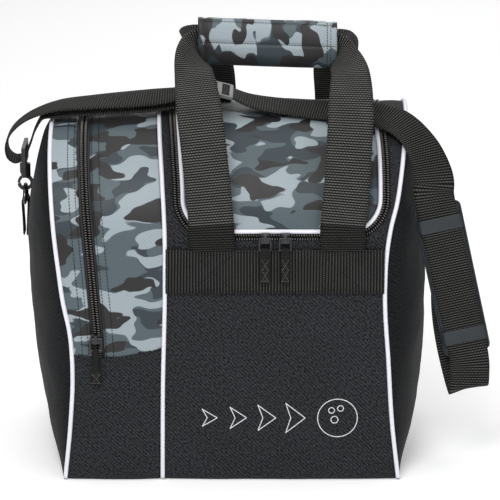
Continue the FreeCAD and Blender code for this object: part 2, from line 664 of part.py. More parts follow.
def shoulder_pad():
    """The pad behind the strap, and the two sewn bands that hold the strap on it."""
    run = PAD_END - PAD_TOP
    angle = math.degrees(math.atan2(run.x, -run.z))
    at_top = FreeCAD.Placement(PAD_TOP, FreeCAD.Rotation(FreeCAD.Vector(0, 1, 0), -angle))
    wide, thick, long = (size[name] for name in ("pad_wide", "pad_thick", "pad_long"))
    corner = FreeCAD.Vector(-wide / 2, -thick / 2, -long)
    pieces = [keep(coded("shoulder_pad", Part.makeBox(wide, thick, long, corner)))]
    half = "pad_wide / 2"
    face = "-pad_thick / 2"
    for name, high in (("upper_pad_band", "-12"), ("lower_pad_band", "-130")):
        low = f"{high} - 14"
        cover = box(name + "_cover", (f"-({half})", f"{face} - 4.4", low), (half, f"{face} - 2.9", high))
        sides = [
            box(f"{name}_side{number}", (start, f"{face} - 3", low), (end, face, high))
            for number, (start, end) in enumerate(((f"-({half})", "-21"), ("21", half)))
        ]
        pieces.append(keep(fuse(name, cover, *sides)))
    for item in pieces:
        item.Placement = at_top


# ---------------------------------------------------------------- the bag

base_and_inside()
body_panels()
shoe_panels()
gusset("left_side_gusset", "shoe_arch_z", "gusset_left", "195", "173", -1)
gusset("right_side_gusset", "ball_arch_z", "gusset_right", "178", "171", 1)
pipings()
lid()
main_zipper()
shoe_zipper()
for side_name, slider_x in (("left", "33"), ("right", "53")):
    slider(f"{side_name}_slider", slider_x, "-half_depth + 0.8", "lid_front_z - 4.5")
    pull(f"{side_name}_pull", slider_x, "-half_depth + 0.8", "lid_front_z - 4.5", "9", "34")
slider("shoe_slider", "shoe_zip_x", "-half_depth", "shoe_zip_low_z + 9")
pull("shoe_pull", "shoe_zip_x", "-half_depth", "shoe_zip_low_z + 9", "9", "36")
bands()
handles()
wrap()
hook_set("left", LEFT_RING, 0, FreeCAD.Rotation(FreeCAD.Vector(0, 0, 1), 180), FreeCAD.Rotation())
hook_set(
    "right", RIGHT_RING, RIGHT_LEAN, FreeCAD.Rotation(FreeCAD.Vector(1, 0, 0), 180),
    FreeCAD.Rotation(FreeCAD.Vector(0, 1, 0), -24) * FreeCAD.Rotation(FreeCAD.Vector(1, 0, 0), 180),
)
shoulder_strap()
shoulder_pad()
doc.recompute()

failed = [item.Name for item in doc.Objects if {"Invalid", "Error"} & set(item.State)]
if failed:
    raise SystemExit(f"failed objects: {failed}")
for node in nodes:
    if node.Shape.isNull() or not node.Shape.isValid() or node.Shape.Volume <= 0:
        raise SystemExit(f"bad shape: {node.Label}")
os.makedirs("parts", exist_ok=True)
for node in nodes:
    node.Shape.exportStep(f"parts/{node.Label}.step")
    extent = node.Shape.BoundBox
    print(
        f"{node.Label:22s} solids {len(node.Shape.Solids)} volume {node.Shape.Volume:10.0f}",
        f"x {extent.XMin:7.1f} {extent.XMax:7.1f} y {extent.YMin:7.1f} {extent.YMax:7.1f}",
        f"z {extent.ZMin:7.1f} {extent.ZMax:7.1f}",
    )
print(len(nodes), "sub-parts")
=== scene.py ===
import math

import bpy
import numpy as np
from mathutils import Matrix, Vector, noise


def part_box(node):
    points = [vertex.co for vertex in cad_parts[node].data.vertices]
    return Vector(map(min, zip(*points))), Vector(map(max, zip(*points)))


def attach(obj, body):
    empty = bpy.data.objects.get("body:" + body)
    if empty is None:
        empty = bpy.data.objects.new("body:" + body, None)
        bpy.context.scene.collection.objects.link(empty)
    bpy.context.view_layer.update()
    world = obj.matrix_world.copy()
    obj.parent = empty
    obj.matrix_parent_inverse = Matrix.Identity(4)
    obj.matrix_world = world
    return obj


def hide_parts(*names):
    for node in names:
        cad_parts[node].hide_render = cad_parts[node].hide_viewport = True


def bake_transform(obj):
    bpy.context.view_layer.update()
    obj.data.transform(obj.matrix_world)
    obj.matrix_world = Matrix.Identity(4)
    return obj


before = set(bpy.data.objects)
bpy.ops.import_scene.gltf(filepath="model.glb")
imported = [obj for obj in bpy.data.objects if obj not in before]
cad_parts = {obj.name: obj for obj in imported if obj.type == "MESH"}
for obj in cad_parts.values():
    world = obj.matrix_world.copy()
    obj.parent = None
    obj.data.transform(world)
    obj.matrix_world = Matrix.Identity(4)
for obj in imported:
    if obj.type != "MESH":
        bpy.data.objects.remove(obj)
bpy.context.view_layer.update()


# ------------------------------------------------------------------ studio
# A pale floor that runs out of sight, four wide soft lights round the bag, and a long lens
# a little above it. None of it belongs to the bag.

camera_data = bpy.data.cameras.new("camera")
camera = bpy.data.objects.new("camera", camera_data)
bpy.context.scene.collection.objects.link(camera)
bpy.context.scene.camera = camera
camera_data.sensor_width = 36
camera_data.lens = 232
camera_rise = math.radians(15)
camera_aim = Vector((0.018, -0.122, 0.2402))
camera_far = 3.2
camera.location = camera_aim + camera_far * Vector((0, -math.cos(camera_rise), math.sin(camera_rise)))
camera.rotation_euler = (math.radians(90) - camera_rise, 0, 0)

world = bpy.data.worlds.new("studio")
bpy.context.scene.world = world
world.use_nodes = True
world.node_tree.nodes["Background"].inputs[0].default_value = (1, 1, 1, 1)
world.node_tree.nodes["Background"].inputs[1].default_value = 0.20
bpy.context.scene.view_settings.view_transform = "Standard"

for light_name, place, power, width in (
    ("key", (-0.5, -2.4, 2.5), 58, 1.3),
    ("fill", (1.2, -2.6, 1.2), 12, 1.4),
    ("top", (0.1, 0.0, 2.8), 36, 2.4),
    ("rear", (0.3, 2.8, 1.7), 16, 1.8),
):
    lamp = bpy.data.lights.new(light_name, "AREA")
    lamp.energy, lamp.size = power, width
    lamp_object = bpy.data.objects.new(light_name, lamp)
    lamp_object.location = place
    aim = Vector((0, 0, 0.2)) - Vector(place)
    lamp_object.rotation_euler = aim.to_track_quat("-Z", "Y").to_euler()
    bpy.context.scene.collection.objects.link(lamp_object)

floor_mesh = bpy.data.meshes.new("floor")
floor_mesh.from_pydata([(-14, -14, 0), (14, -14, 0), (14, 14, 0), (-14, 14, 0)], [], [(0, 1, 2, 3)])
floor = bpy.data.objects.new("floor", floor_mesh)
floor.location.z = -0.0005
bpy.context.scene.collection.objects.link(floor)
floor_finish = bpy.data.materials.new("studio_floor")
floor_finish.use_nodes = True
floor_shader = floor_finish.node_tree.nodes["Principled BSDF"]
floor_shader.inputs["Base Color"].default_value = (0.97, 0.97, 0.98, 1)
floor_shader.inputs["Roughness"].default_value = 0.9
floor_shader.inputs["Emission Color"].default_value = (1, 1, 1, 1)
floor_shader.inputs["Emission Strength"].default_value = 0.26
floor_mesh.materials.append(floor_finish)


# ------------------------------------------------------------------ black body fabric
# Plain-woven 600 denier polyester, coated inside, sewn from flat panels. The yarns show as
# a fine grid with a diagonal sheen; the cloth is slightly paler where it is stretched.

MM = 0.001


def new_finish(name, colour, roughness, **numbers):
    """A finish, its node tree and its shader, with the even numbers on the shader itself."""
    finish = bpy.data.materials.new(name)
    finish.use_nodes = True
    shader = finish.node_tree.nodes["Principled BSDF"]
    shader.inputs["Base Color"].default_value = (*colour, 1)
    shader.inputs["Roughness"].default_value = roughness
    for socket, value in numbers.items():
        shader.inputs[socket.replace("_", " ")].default_value = value
    return finish, finish.node_tree, shader


def step(tree, kind, *sources, **settings):
    """Adds a node and feeds its inputs, in order, from sockets or plain values."""
    added = tree.nodes.new(kind)
    for key, value in settings.items():
        setattr(added, key, value)
    for socket, source in zip(added.inputs, sources):
        if isinstance(source, bpy.types.NodeSocket):
            tree.links.new(source, socket)
        elif source is not None:
            socket.default_value = source
    return added.outputs[0]


def calc(tree, operation, first, second=None, third=None):
    """One sum on numbers."""
    return step(tree, "ShaderNodeMath", first, second, third, operation=operation)


def blend_colour(tree, share, low, high):
    """Goes from one colour to another."""
    added = tree.nodes.new("ShaderNodeMix")
    added.data_type = "RGBA"
    for index, source in ((0, share), (6, low), (7, high)):
        if isinstance(source, bpy.types.NodeSocket):
            tree.links.new(source, added.inputs[index])
        else:
            added.inputs[index].default_value = source if index == 0 else (*source, 1)
    return added.outputs[2]


def cloth_place(tree, laid_out):
    """Place on the cloth as (across, along, 0): the piece's own layout, or the frame's axes."""
    if laid_out:
        return step(tree, "ShaderNodeUVMap", uv_map="cloth")
    source = tree.nodes.new("ShaderNodeTexCoord")
    return source.outputs["Object"]


def raise_by(tree, shader, height, distance):
    """Turns a height from 0 to 1 into relief of that many metres."""
    bump = tree.nodes.new("ShaderNodeBump")
    bump.inputs["Strength"].default_value = 1.0
    bump.inputs["Distance"].default_value = distance
    tree.links.new(height, bump.inputs["Height"])
    tree.links.new(bump.outputs[0], shader.inputs["Normal"])


def grained_finish(name, plain, low, high, roughness, texture, grain, relief=0.0, **numbers):
    """A finish of one fine grain between two colours. The grain is (scale, detail, roughness), and
    the plain colour stands in where the grain can't be shown."""
    finish, tree, shader = new_finish(name, plain, roughness, **numbers)
    grains = step(tree, texture, cloth_place(tree, False), None, *grain)
    tree.links.new(blend_colour(tree, grains, low, high), shader.inputs["Base Color"])
    if relief:
        raise_by(tree, shader, grains, relief)
    return finish


def refinish(finish, *nodes):
    """Gives parts of the frame that are seen as they are a finish."""
    for node in nodes:
        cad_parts[node].data.materials.clear()
        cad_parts[node].data.materials.append(finish)


def weave_height(tree, across, along, yarn):
    """Over-and-under relief of a plain weave with that yarn spacing."""
    turn = 2 * math.pi / yarn
    first = calc(tree, "SINE", calc(tree, "MULTIPLY", across, turn))
    second = calc(tree, "SINE", calc(tree, "MULTIPLY", along, turn))
    return calc(tree, "MULTIPLY_ADD", calc(tree, "MULTIPLY", first, second), 0.5, 0.5)


def woven_finish(name, dark, light, laid_out=True, yarn=0.0014, twill=0.0029, relief=0.00012):
    """Plain-woven polyester: yarn grid, diagonal sheen, and soft patches of wear."""
    finish, tree, shader = new_finish(
        name, dark, 0.72, Specular_IOR_Level=0.11, Sheen_Weight=0.02, Sheen_Roughness=0.5)
    place = cloth_place(tree, laid_out)
    parts = tree.nodes.new("ShaderNodeSeparateXYZ")
    tree.links.new(place, parts.inputs[0])
    across, along = parts.outputs[0], parts.outputs[1 if laid_out else 2]
    if not laid_out:
        across = calc(tree, "ADD", parts.outputs[0], parts.outputs[1])
    yarns = weave_height(tree, across, along, yarn)
    slant = calc(tree, "MULTIPLY", calc(tree, "ADD", across, along), 2 * math.pi / (twill * 1.414))
    ribs = calc(tree, "MULTIPLY_ADD", calc(tree, "SINE", slant), 0.5, 0.5)
    patches = step(tree, "ShaderNodeTexNoise", place, None, 14.0, 4.0, 0.6)
    fuzz = step(tree, "ShaderNodeTexNoise", place, None, 430.0, 2.0, 0.7)
    mixed = calc(tree, "MULTIPLY_ADD", ribs, 0.40, calc(tree, "MULTIPLY", yarns, 0.22))
    mixed = calc(tree, "MULTIPLY_ADD", patches, 0.30, mixed)
    mixed = calc(tree, "MULTIPLY_ADD", fuzz, 2.5, calc(tree, "SUBTRACT", mixed, 1.28))
    colour = blend_colour(tree, mixed, dark, light)
    tree.links.new(colour, shader.inputs["Base Color"])
    rough = calc(tree, "MULTIPLY_ADD", patches, 0.22, 0.58)
    tree.links.new(rough, shader.inputs["Roughness"])
    height = calc(tree, "MULTIPLY_ADD", ribs, 0.55, calc(tree, "MULTIPLY_ADD", fuzz, 0.3, yarns))
    raise_by(tree, shader, height, relief)
    return finish


BLACK_LOW, BLACK_HIGH = (0.0030, 0.0036, 0.0042), (0.040, 0.044, 0.049)
body_fabric = woven_finish("black_polyester", BLACK_LOW, BLACK_HIGH)
body_fabric_plain = woven_finish("black_polyester_board", BLACK_LOW, BLACK_HIGH, laid_out=False)
# Painted shade: the gussets get the same polyester made darker, for the sides that turn away from the front
# lights.
gusset_shade_painted_fabric = woven_finish("black_polyester_shade_painted", (0.0014, 0.0017, 0.0020),
                             (0.014, 0.0155, 0.0175))

HALF_DEPTH = 122.0
ARCH_Z = 240.0
ARC = math.pi * HALF_DEPTH
WAY_ROUND = 2 * ARCH_Z + ARC
PANEL_THICK = 2.6


def smooth_line(table):
    """A smooth value along the bag, from a short table of (way along, value)."""
    ways, values = (np.array(column, float) for column in zip(*table))
    slopes = np.gradient(values, ways)

    def value(way):
        at = int(np.clip(np.searchsorted(ways, way) - 1, 0, len(ways) - 2))
        span = ways[at + 1] - ways[at]
        share = min(1.0, max(0.0, (way - ways[at]) / span))
        return float(
            values[at] * (1 + 2 * share) * (1 - share) ** 2
            + slopes[at] * span * share * (1 - share) ** 2
            + values[at + 1] * share * share * (3 - 2 * share)
            + slopes[at + 1] * span * share * share * (share - 1)
        )

    return value


# the piped seams pull in at the waist and spread over the arch; the way runs up the front
# from the floor, over the top and down the back
seam_left = smooth_line([
    (0, -169), (60, -163), (120, -160), (160, -162), (200, -169), (235, -173), (280, -178),
    (340, -182), (431, -183), (520, -181), (600, -176), (680, -170), (780, -166), (863, -169)])
seam_mid = smooth_line([
    (0, -71), (100, -70), (200, -67.5), (260, -67.5), (310, -70), (360, -73), (431, -75),
    (520, -74), (623, -71), (740, -70), (863, -71)])
seam_right = smooth_line([
    (0, 168), (60, 161), (120, 157), (200, 152.5), (245, 155), (263, 158), (287, 164),
    (320, 169), (360, 173), (431, 176), (500, 174), (560, 169), (623, 163), (720, 159),
    (800, 163), (863, 168)])


def ease(low, high, value):
    """Rises smoothly from 0 at low to 1 at high."""
    share = min(1.0, max(0.0, (value - low) / (high - low)))
    return share * share * (3 - 2 * share)


def skin(x, way, lift=0.0):
    """A point of the fabric, in millimetres: how far across, how far round, how far out."""
    arch = ARCH_Z
    inner = seam_mid(way)
    if x < inner:
        arch -= 3 + 11 * min(1.0, (inner - x) / 108)
    if way < ARCH_Z:
        out, z, up = -1.0, way * arch / ARCH_Z, 0.0
    elif way < ARCH_Z + ARC:
        angle = (way - ARCH_Z) / HALF_DEPTH
        out, up = -math.cos(angle), math.sin(angle)
        return np.array((x, out * (HALF_DEPTH + lift), arch + up * (HALF_DEPTH + lift)))
    else:
        out, z, up = 1.0, (WAY_ROUND - way) * arch / ARCH_Z, 0.0
    return np.array((x, out * (HALF_DEPTH + lift), z))


def skin_out(way):
    """The outward direction of the fabric at that way round."""
    angle = min(math.pi, max(0.0, (way - ARCH_Z) / HALF_DEPTH))
    return np.array((0, -math.cos(angle), math.sin(angle)))


def ripple(x, way, size, seed):
    """Soft uneven hills and folds in the cloth, from about -1 to 1."""
    return noise.noise(Vector((x / size, way / size, seed)))


def add_piece(name, points, faces, layout, finish, body):
    """A smooth mesh in metres from points in millimetres, with its cloth layout, on a body."""
    mesh = bpy.data.meshes.new(name)
    mesh.from_pydata([tuple(point) for point in np.asarray(points) * MM], [], faces)
    mesh.polygons.foreach_set("use_smooth", [True] * len(mesh.polygons))
    if layout is not None:
        drawn = mesh.uv_layers.new(name="cloth")
        corners = np.zeros(len(mesh.loops), int)
        mesh.loops.foreach_get("vertex_index", corners)
        drawn.data.foreach_set("uv", (np.asarray(layout)[corners] * MM).ravel())
    mesh.materials.append(finish)
    mesh.update()
    piece = bpy.data.objects.new(name, mesh)
    bpy.context.scene.collection.objects.link(piece)
    if body:
        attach(piece, body)
    return piece


def shell_faces(rows, columns):
    """Faces of a closed sheet: an outer grid, an inner grid after it, and the rim between them."""
    count = rows * columns
    faces = []
    for row in range(rows - 1):
        for column in range(columns - 1):
            a = row * columns + column
            b, c, d = a + 1, a + columns + 1, a + columns
            faces.append((a, b, c, d))
            faces.append((a + count, d + count, c + count, b + count))
    rim = (list(range(columns))
           + [row * columns + columns - 1 for row in range(1, rows)]
           + [(rows - 1) * columns + column for column in range(columns - 2, -1, -1)]
           + [row * columns for row in range(rows - 2, 0, -1)])
    for first, second in zip(rim, rim[1:] + rim[:1]):
        faces.append((second, first, first + count, second + count))
    return faces


def cloth_sheet(name, grid, layout, thick, finish, body="root", sunk=0.0):
    """A closed sheet: an outer grid of points, and the same grid one thickness further in."""
    grid = np.asarray(grid, float)
    rows, columns = grid.shape[:2]
    along = np.gradient(grid, axis=0)
    across = np.gradient(grid, axis=1)
    out = np.cross(across, along)
    out /= np.maximum(np.linalg.norm(out, axis=2, keepdims=True), 1e-9)
    points = np.concatenate([(grid - out * sunk).reshape(-1, 3),
                             (grid - out * (thick + sunk)).reshape(-1, 3)])
    points[:, 2] = np.maximum(points[:, 2], 0.15)
    faces = shell_faces(rows, columns)
    layout = np.asarray(layout, float).reshape(-1, 2)
    return add_piece(name, points, faces, np.concatenate([layout, layout]), finish, body)


def skin_panel(name, left, right, start, end, lift, across, along, finish,
               thick=PANEL_THICK, body="root"):
    """A panel of the bag between two edges, laid on the skin with a lift of its own."""
    grid, layout = [], []
    for row in range(along + 1):
        way = start + (end - start) * row / along
        low, high = left(way), right(way)
        line = [low + (high - low) * column / across for column in range(across + 1)]
        grid.append([skin(x, way, lift((x - low) / (high - low), way, x)) for x in line])
        layout.append([(x, way) for x in line])
    return cloth_sheet(name, grid, layout, thick, finish, body)


SEAM = 1.2  # the fabric's edge tucks under the piping


def filled(share, way, x, height=2.4, folds=1.3, seed=0.0):
    """Fabric filled out from inside: crowned between its seams, with soft folds."""
    crown = max(0.0, math.sin(math.pi * share)) ** 0.55
    rounded = -3.0 * (1 - min(1.0, way / 9)) ** 2 - 3.0 * (1 - min(1.0, (WAY_ROUND - way) / 9)) ** 2
    soft = ripple(x, way, 62, seed) + 0.45 * ripple(x, way, 27, seed + 7)
    return rounded + crown * (height + folds * soft)


def front_lift(share, way, x):
    """The front is full below the band and held flat under it."""
    free = 1 - ease(150, 192, way)
    pull = 1.5 * math.exp(-((x - 146 - 0.5 * (way - 150)) / 7) ** 2) * ease(60, 150, way) * free
    return filled(share, way, x, 2.6 * free + 0.3, 1.5 * free + 0.15, 1.0) + pull


front_panel = skin_panel(
    "front_panel_cloth", lambda way: seam_mid(way) + SEAM, lambda way: seam_right(way) - SEAM,
    0.2, 249.6, front_lift, 90, 110, body_fabric)
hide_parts("front_panel")

HINGE_WAY = ARCH_Z + ARC - HALF_DEPTH * math.asin((300 - ARCH_Z) / HALF_DEPTH)


def back_lift(share, way, x):
    """The back hangs plain, held flat under its band and along the lid's hinge."""
    from_floor = WAY_ROUND - way
    free = 1 - ease(150, 192, from_floor)
    return filled(share, way, x, 2.8 * free + 0.3, 1.6 * free + 0.2, 4.0)


back_panel = skin_panel(
    "back_panel_cloth", lambda way: seam_mid(way) + SEAM, lambda way: seam_right(way) - SEAM,
    HINGE_WAY + 0.5, WAY_ROUND - 0.2, back_lift, 80, 110, body_fabric)
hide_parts("back_panel")

CAMO_EDGE = 139.0


def camo_edge(x):
    """The printed panel's lower edge sags between the two seams."""
    share = min(1.0, max(0.0, (x + 165) / 95))
    return CAMO_EDGE + 3.0 - 9.5 * math.sin(math.pi * share) ** 0.8


for name, front, seed in (("shoe_lower_front", True, 2.0), ("shoe_lower_back", False, 3.0)):
    grid, layout = [], []
    for row in range(61):
        height = row / 60 if front else 1 - row / 60
        line, drawn = [], []
        for column in range(41):
            share = column / 40
            way = 0.2 + 138 * height
            way = way if front else WAY_ROUND - way
            low, high = seam_left(way) + SEAM, seam_mid(way) - SEAM
            x = low + (high - low) * share
            top = camo_edge(x) + 1.5
            way = 0.2 + (top - 0.2) * height
            way = way if front else WAY_ROUND - way
            line.append(skin(x, way, filled(share, way, x, 3.2, 2.0, seed)))
            drawn.append((x, way))
        grid.append(line)
        layout.append(drawn)
    shoe_lower = cloth_sheet(name + "_cloth", grid, layout, PANEL_THICK, body_fabric)
    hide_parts(name)

# side gussets: one cut of cloth each, eased into the arched seam so that it bulges
SPINES = {
    "left": smooth_line([
        (0, -176), (30, -188), (60, -194.5), (100, -201), (150, -206), (200, -209), (250, -209.5),
        (290, -206), (318, -200), (338, -191), (348, -184)]),
    "right": smooth_line([
        (0, 171), (36, 186), (72, 193), (115, 197), (165, 198.5), (220, 199), (262, 197),
        (300, 191), (332, 184), (352, 179), (362, 176)]),
}
for side, seam, arch, buckle, node in (
    ("left", seam_left, ARCH_Z - 14, 300, "left_side_gusset"),
    ("right", seam_right, ARCH_Z, 236, "right_side_gusset"),
):
    sign = -1 if side == "left" else 1
    heights = [arch * row / 60 for row in range(60)]
    heights += [arch + HALF_DEPTH * math.sin(math.pi / 2 * row / 26) for row in range(27)]
    grid, layout = [], []
    for z in heights:
        if z < arch:
            reach, way = HALF_DEPTH, z * ARCH_Z / arch
        else:
            lean = math.asin(min(1.0, (z - arch) / HALF_DEPTH))
            reach, way = HALF_DEPTH * math.cos(lean), ARCH_Z + HALF_DEPTH * lean
        reach = max(reach, 0.4)
        line, drawn = [], []
        for column in range(65):
            place = -math.cos(math.pi * column / 64)
            front, back = seam(way), seam(WAY_ROUND - way)
            edge = front + (back - front) * (place + 1) / 2 + sign * 1.0
            fill = (1 - abs(place) ** 2.3) ** 0.72
            crease = ripple(place * 60 + 11, z * 0.55, 34, 5.0 + sign)
            fine = ripple(place * 122, z, 21, 9.0 + sign)
            sag = fill * (2.6 * crease + 0.8 * fine) * ease(0, 40, z) * (1 - ease(arch + 60, arch + 122, z))
            x = edge + (SPINES[side](z) - edge) * fill - sign * abs(sag)
            pinch = 1.2 * (1 - fill)
            y = place * (reach - pinch)
            x -= sign * 4.6 * math.exp(-(y / 36) ** 2 - ((z - buckle) / 30) ** 2)
            line.append((x, y, z))
            drawn.append((y, z))
        if sign < 0:
            line.reverse()
            drawn.reverse()
        grid.append(line)
        layout.append(drawn)
    # the gusset's darker cloth is painted shade
    gusset = cloth_sheet(f"{side}_gusset_cloth", grid, layout, PANEL_THICK, gusset_shade_painted_fabric)
    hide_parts(node)

# the base: a double layer of the same cloth, its edge turned up into the seams
grid, layout = [], []
for row in range(31):
    y = -119.5 + 239 * row / 30
    line = [-172 + 342 * column / 60 for column in range(61)]
    inset = 6 * (abs(y) / 119.5) ** 12
    line = [x * (1 - inset / 170) for x in line]
    grid.append([(x, y, 0.6 + 1.5 * (abs(y) / 119.5) ** 16) for x in reversed(line)])
    layout.append([(x, y) for x in reversed(line)])
base_cloth = cloth_sheet("base_cloth", grid, layout, 3.4, body_fabric)
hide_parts("base_panel")

# the small strip that closes the step between the two arches, beside the middle seam
grid, layout = [], []
for row in range(61):
    way = ARCH_Z * 0.98 + (ARC + ARCH_Z * 0.04) * row / 60
    line = [skin(seam_mid(way) - 1.5, way, 0.2), skin(seam_mid(way) + 1.2, way, -0.2)]
    grid.append(line)
    layout.append([(0, way), (3, way)])
step_cloth = cloth_sheet("step_cloth", grid, layout, 3.0, body_fabric)
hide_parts("step_panel")


# ------------------------------------------------------------------ printed panels
# The same polyester, printed with a four-tone camouflage and sealed with a satin coating.
# It covers the upper shoe compartment and the lid; the print's blobs lie lengthwise.

def camouflage(name, seed, blob=(34.0, 62.0), light=0.556, shade_painted_toward=None):
    """Printed camouflage: three layers of rounded blobs over slate, satin coated. Given (first, last)
    heights in the layout, the dark blobs grow and the light ones shrink between them: painted shade, for
    cloth that curves under."""
    finish, tree, shader = new_finish(
        name, (0.061, 0.089, 0.107), 0.4, Specular_IOR_Level=0.24, Coat_Weight=0.03,
        Coat_Roughness=0.42)
    place = cloth_place(tree, True)
    scaled = step(tree, "ShaderNodeVectorMath", place, (blob[0], blob[1], 1), operation="MULTIPLY")
    wobble = tree.nodes.new("ShaderNodeTexNoise")
    tree.links.new(scaled, wobble.inputs["Vector"])
    wobble.inputs["Scale"].default_value = 1.3
    wobble.inputs["Detail"].default_value = 0.0
    shake = step(tree, "ShaderNodeVectorMath", wobble.outputs["Color"], (-0.5, -0.5, -0.5),
                 operation="ADD")
    shake = step(tree, "ShaderNodeVectorMath", shake, (1.1, 0.9, 0), operation="MULTIPLY")
    moved = step(tree, "ShaderNodeVectorMath", scaled, shake, operation="ADD")

    parts = tree.nodes.new("ShaderNodeSeparateXYZ")
    tree.links.new(place, parts.inputs[0])
    across, along = parts.outputs[0], parts.outputs[1]
    # Painted shade: between the two heights the dark print spreads, darkening cloth that curves under.
    painted_darkening = None
    if shade_painted_toward:
        ramp = tree.nodes.new("ShaderNodeMapRange")
        tree.links.new(along, ramp.inputs["Value"])
        ramp.inputs["From Min"].default_value = shade_painted_toward[0]
        ramp.inputs["From Max"].default_value = shade_painted_toward[1]
        ramp.inputs["To Max"].default_value = 0.13
        painted_darkening = ramp.outputs[0]

    def blobs(offset, scale, level, grows=-1.0):
        at = step(tree, "ShaderNodeVectorMath", moved, (seed + offset, offset * 1.7, seed * 0.3),
                  operation="ADD")
        field = tree.nodes.new("ShaderNodeTexNoise")
        tree.links.new(at, field.inputs["Vector"])
        field.inputs["Scale"].default_value = scale
        field.inputs["Detail"].default_value = 0.0
        field.inputs["Roughness"].default_value = 0.4
        height = calc(tree, "MULTIPLY_ADD", painted_darkening, grows, field.outputs[0]) if painted_darkening else field.outputs[0]
        edge = tree.nodes.new("ShaderNodeMapRange")
        tree.links.new(height, edge.inputs["Value"])
        edge.inputs["From Min"].default_value = level - 0.008
        edge.inputs["From Max"].default_value = level + 0.008
        return edge.outputs[0]

    colour = blend_colour(tree, blobs(3.1, 0.9, 0.47), (0.036, 0.050, 0.060), (0.088, 0.118, 0.133))
    colour = blend_colour(tree, blobs(11.7, 1.0, light), colour, (0.33, 0.39, 0.42))
    colour = blend_colour(tree, blobs(23.9, 1.0, 0.585, 1.0), colour, (0.026, 0.0235, 0.0245))
    slant = calc(tree, "MULTIPLY", calc(tree, "ADD", across, along), 2 * math.pi / 0.0038)
    ribs = calc(tree, "MULTIPLY_ADD", calc(tree, "SINE", slant), 0.5, 0.5)
    yarns = weave_height(tree, across, along, 0.0012)
    grain = calc(tree, "MULTIPLY_ADD", ribs, 0.10, calc(tree, "MULTIPLY", yarns, 0.10))
    colour = blend_colour(tree, grain, colour, (0.02, 0.022, 0.024))
    tree.links.new(colour, shader.inputs["Base Color"])
    worn = step(tree, "ShaderNodeTexNoise", place, None, 60.0, 3.0, 0.6)
    tree.links.new(calc(tree, "MULTIPLY_ADD", worn, 0.16, 0.33), shader.inputs["Roughness"])
    raise_by(tree, shader, calc(tree, "MULTIPLY_ADD", ribs, 0.6, yarns), 0.00006)
    return finish


printed_fabric = camouflage("camouflage_print", 5.0)

ZIP_HALF = 6.3  # half of the gap that a zipper's tape shows in


# the shoe compartment's zipper leans a little, with the seams
shoe_zip = smooth_line([
    (100, -133), (150, -134.5), (200, -138), (240, -141), (300, -146), (380, -149.5),
    (431, -150), (520, -148), (600, -146)])
SHOE_ZIP_END = ARCH_Z + ARC - HALF_DEPTH * math.asin(0.62)


def shoe_lift(share, way, x):
    """Fuller than the front: the compartment is soft and unlined."""
    return filled(share, way, x, 2.0, 1.2, 6.0)


def split_lift(way, x):
    """Lower beside the zipper, where the cloth is folded under and sewn down."""
    beside = abs(x - shoe_zip(way)) - ZIP_HALF
    held = 1 - 0.75 * math.exp(-max(0.0, beside) / 9)
    full = (x - seam_left(way)) / (seam_mid(way) - seam_left(way))
    return filled(min(1, max(0, full)), way, x, 2.4, 1.4, 6.0) * held + 0.2


def printed_piece(name, left, right, end, across):
    """Printed cloth from its sagging lower edge up over the arch."""
    grid, layout = [], []
    for row in range(131):
        line, drawn = [], []
        for column in range(across + 1):
            share = column / across
            way = CAMO_EDGE + (end - CAMO_EDGE) * row / 130
            x = left(way) + (right(way) - left(way)) * share
            way = camo_edge(x) + (end - camo_edge(x)) * row / 130
            x = left(way) + (right(way) - left(way)) * share
            line.append(skin(x, way, split_lift(way, x)))
            drawn.append((x, way))
        grid.append(line)
        layout.append(drawn)
    return cloth_sheet(name, grid, layout, PANEL_THICK, printed_fabric)


printed_piece("shoe_print_left", lambda way: seam_left(way) + SEAM,
              lambda way: shoe_zip(way) - ZIP_HALF, SHOE_ZIP_END, 16)
printed_piece("shoe_print_right", lambda way: shoe_zip(way) + ZIP_HALF,
              lambda way: seam_mid(way) - SEAM, SHOE_ZIP_END, 34)
grid, layout = [], []
for row in range(91):
    line, drawn = [], []
    for column in range(51):
        share = column / 50
        way = SHOE_ZIP_END + (WAY_ROUND - CAMO_EDGE - SHOE_ZIP_END) * row / 90
        low, high = seam_left(way) + SEAM, seam_mid(way) - SEAM
        x = low + (high - low) * share
        way = SHOE_ZIP_END + (WAY_ROUND - camo_edge(x) - SHOE_ZIP_END) * row / 90
        line.append(skin(x, way, shoe_lift(share, way, x)))
        drawn.append((x, way))
    grid.append(line)
    layout.append(drawn)
shoe_print_back = cloth_sheet("shoe_print_back", grid, layout, PANEL_THICK, printed_fabric)
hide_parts("shoe_upper_panel")

# the lid: edges of its printed panel, which the piping covers
lid_left = smooth_line([
    (258, -48), (300, -48.5), (340, -51), (390, -54), (431, -56), (500, -55), (570, -52)])
lid_right = smooth_line([
    (258, 146), (300, 147), (340, 146.5), (390, 143.5), (431, 141), (500, 142), (570, 145)])
LID_FRONT = 259.5
LID_CORNER = 32.0


def lid_edge(way, side, grown=0.0):
    """The lid's left or right edge at that way round, rounded at the front corners."""
    line = lid_left if side < 0 else lid_right
    radius = LID_CORNER + grown
    low = LID_FRONT - grown
    edge = line(way) + side * grown
    if way < low + radius:
        rise = min(1.0, max(0.0, (low + radius - way) / radius))
        edge -= side * radius * (1 - math.sqrt(max(0.0, 1 - rise * rise)))
    return edge


def ways_from(start, end, corner, count):
    """Ways round the bag, close together where the corner curves."""
    ways = [start + corner * (1 - math.cos(math.pi / 2 * step_at / 14)) for step_at in range(14)]
    ways += [start + corner + (end - start - corner) * step_at / count for step_at in range(count + 1)]
    return ways


def lid_lift(share, way, x):
    """The lid is lightly padded and dips where the strap lies on it."""
    crown = max(0.0, math.sin(math.pi * share)) ** 0.5 * ease(LID_FRONT, LID_FRONT + 26, way)
    soft = ripple(x, way, 55, 12.0) + 0.4 * ripple(x, way, 24, 15.0)
    return 0.4 + crown * (1.9 + 1.2 * soft) * (1 - ease(HINGE_WAY - 26, HINGE_WAY, way))


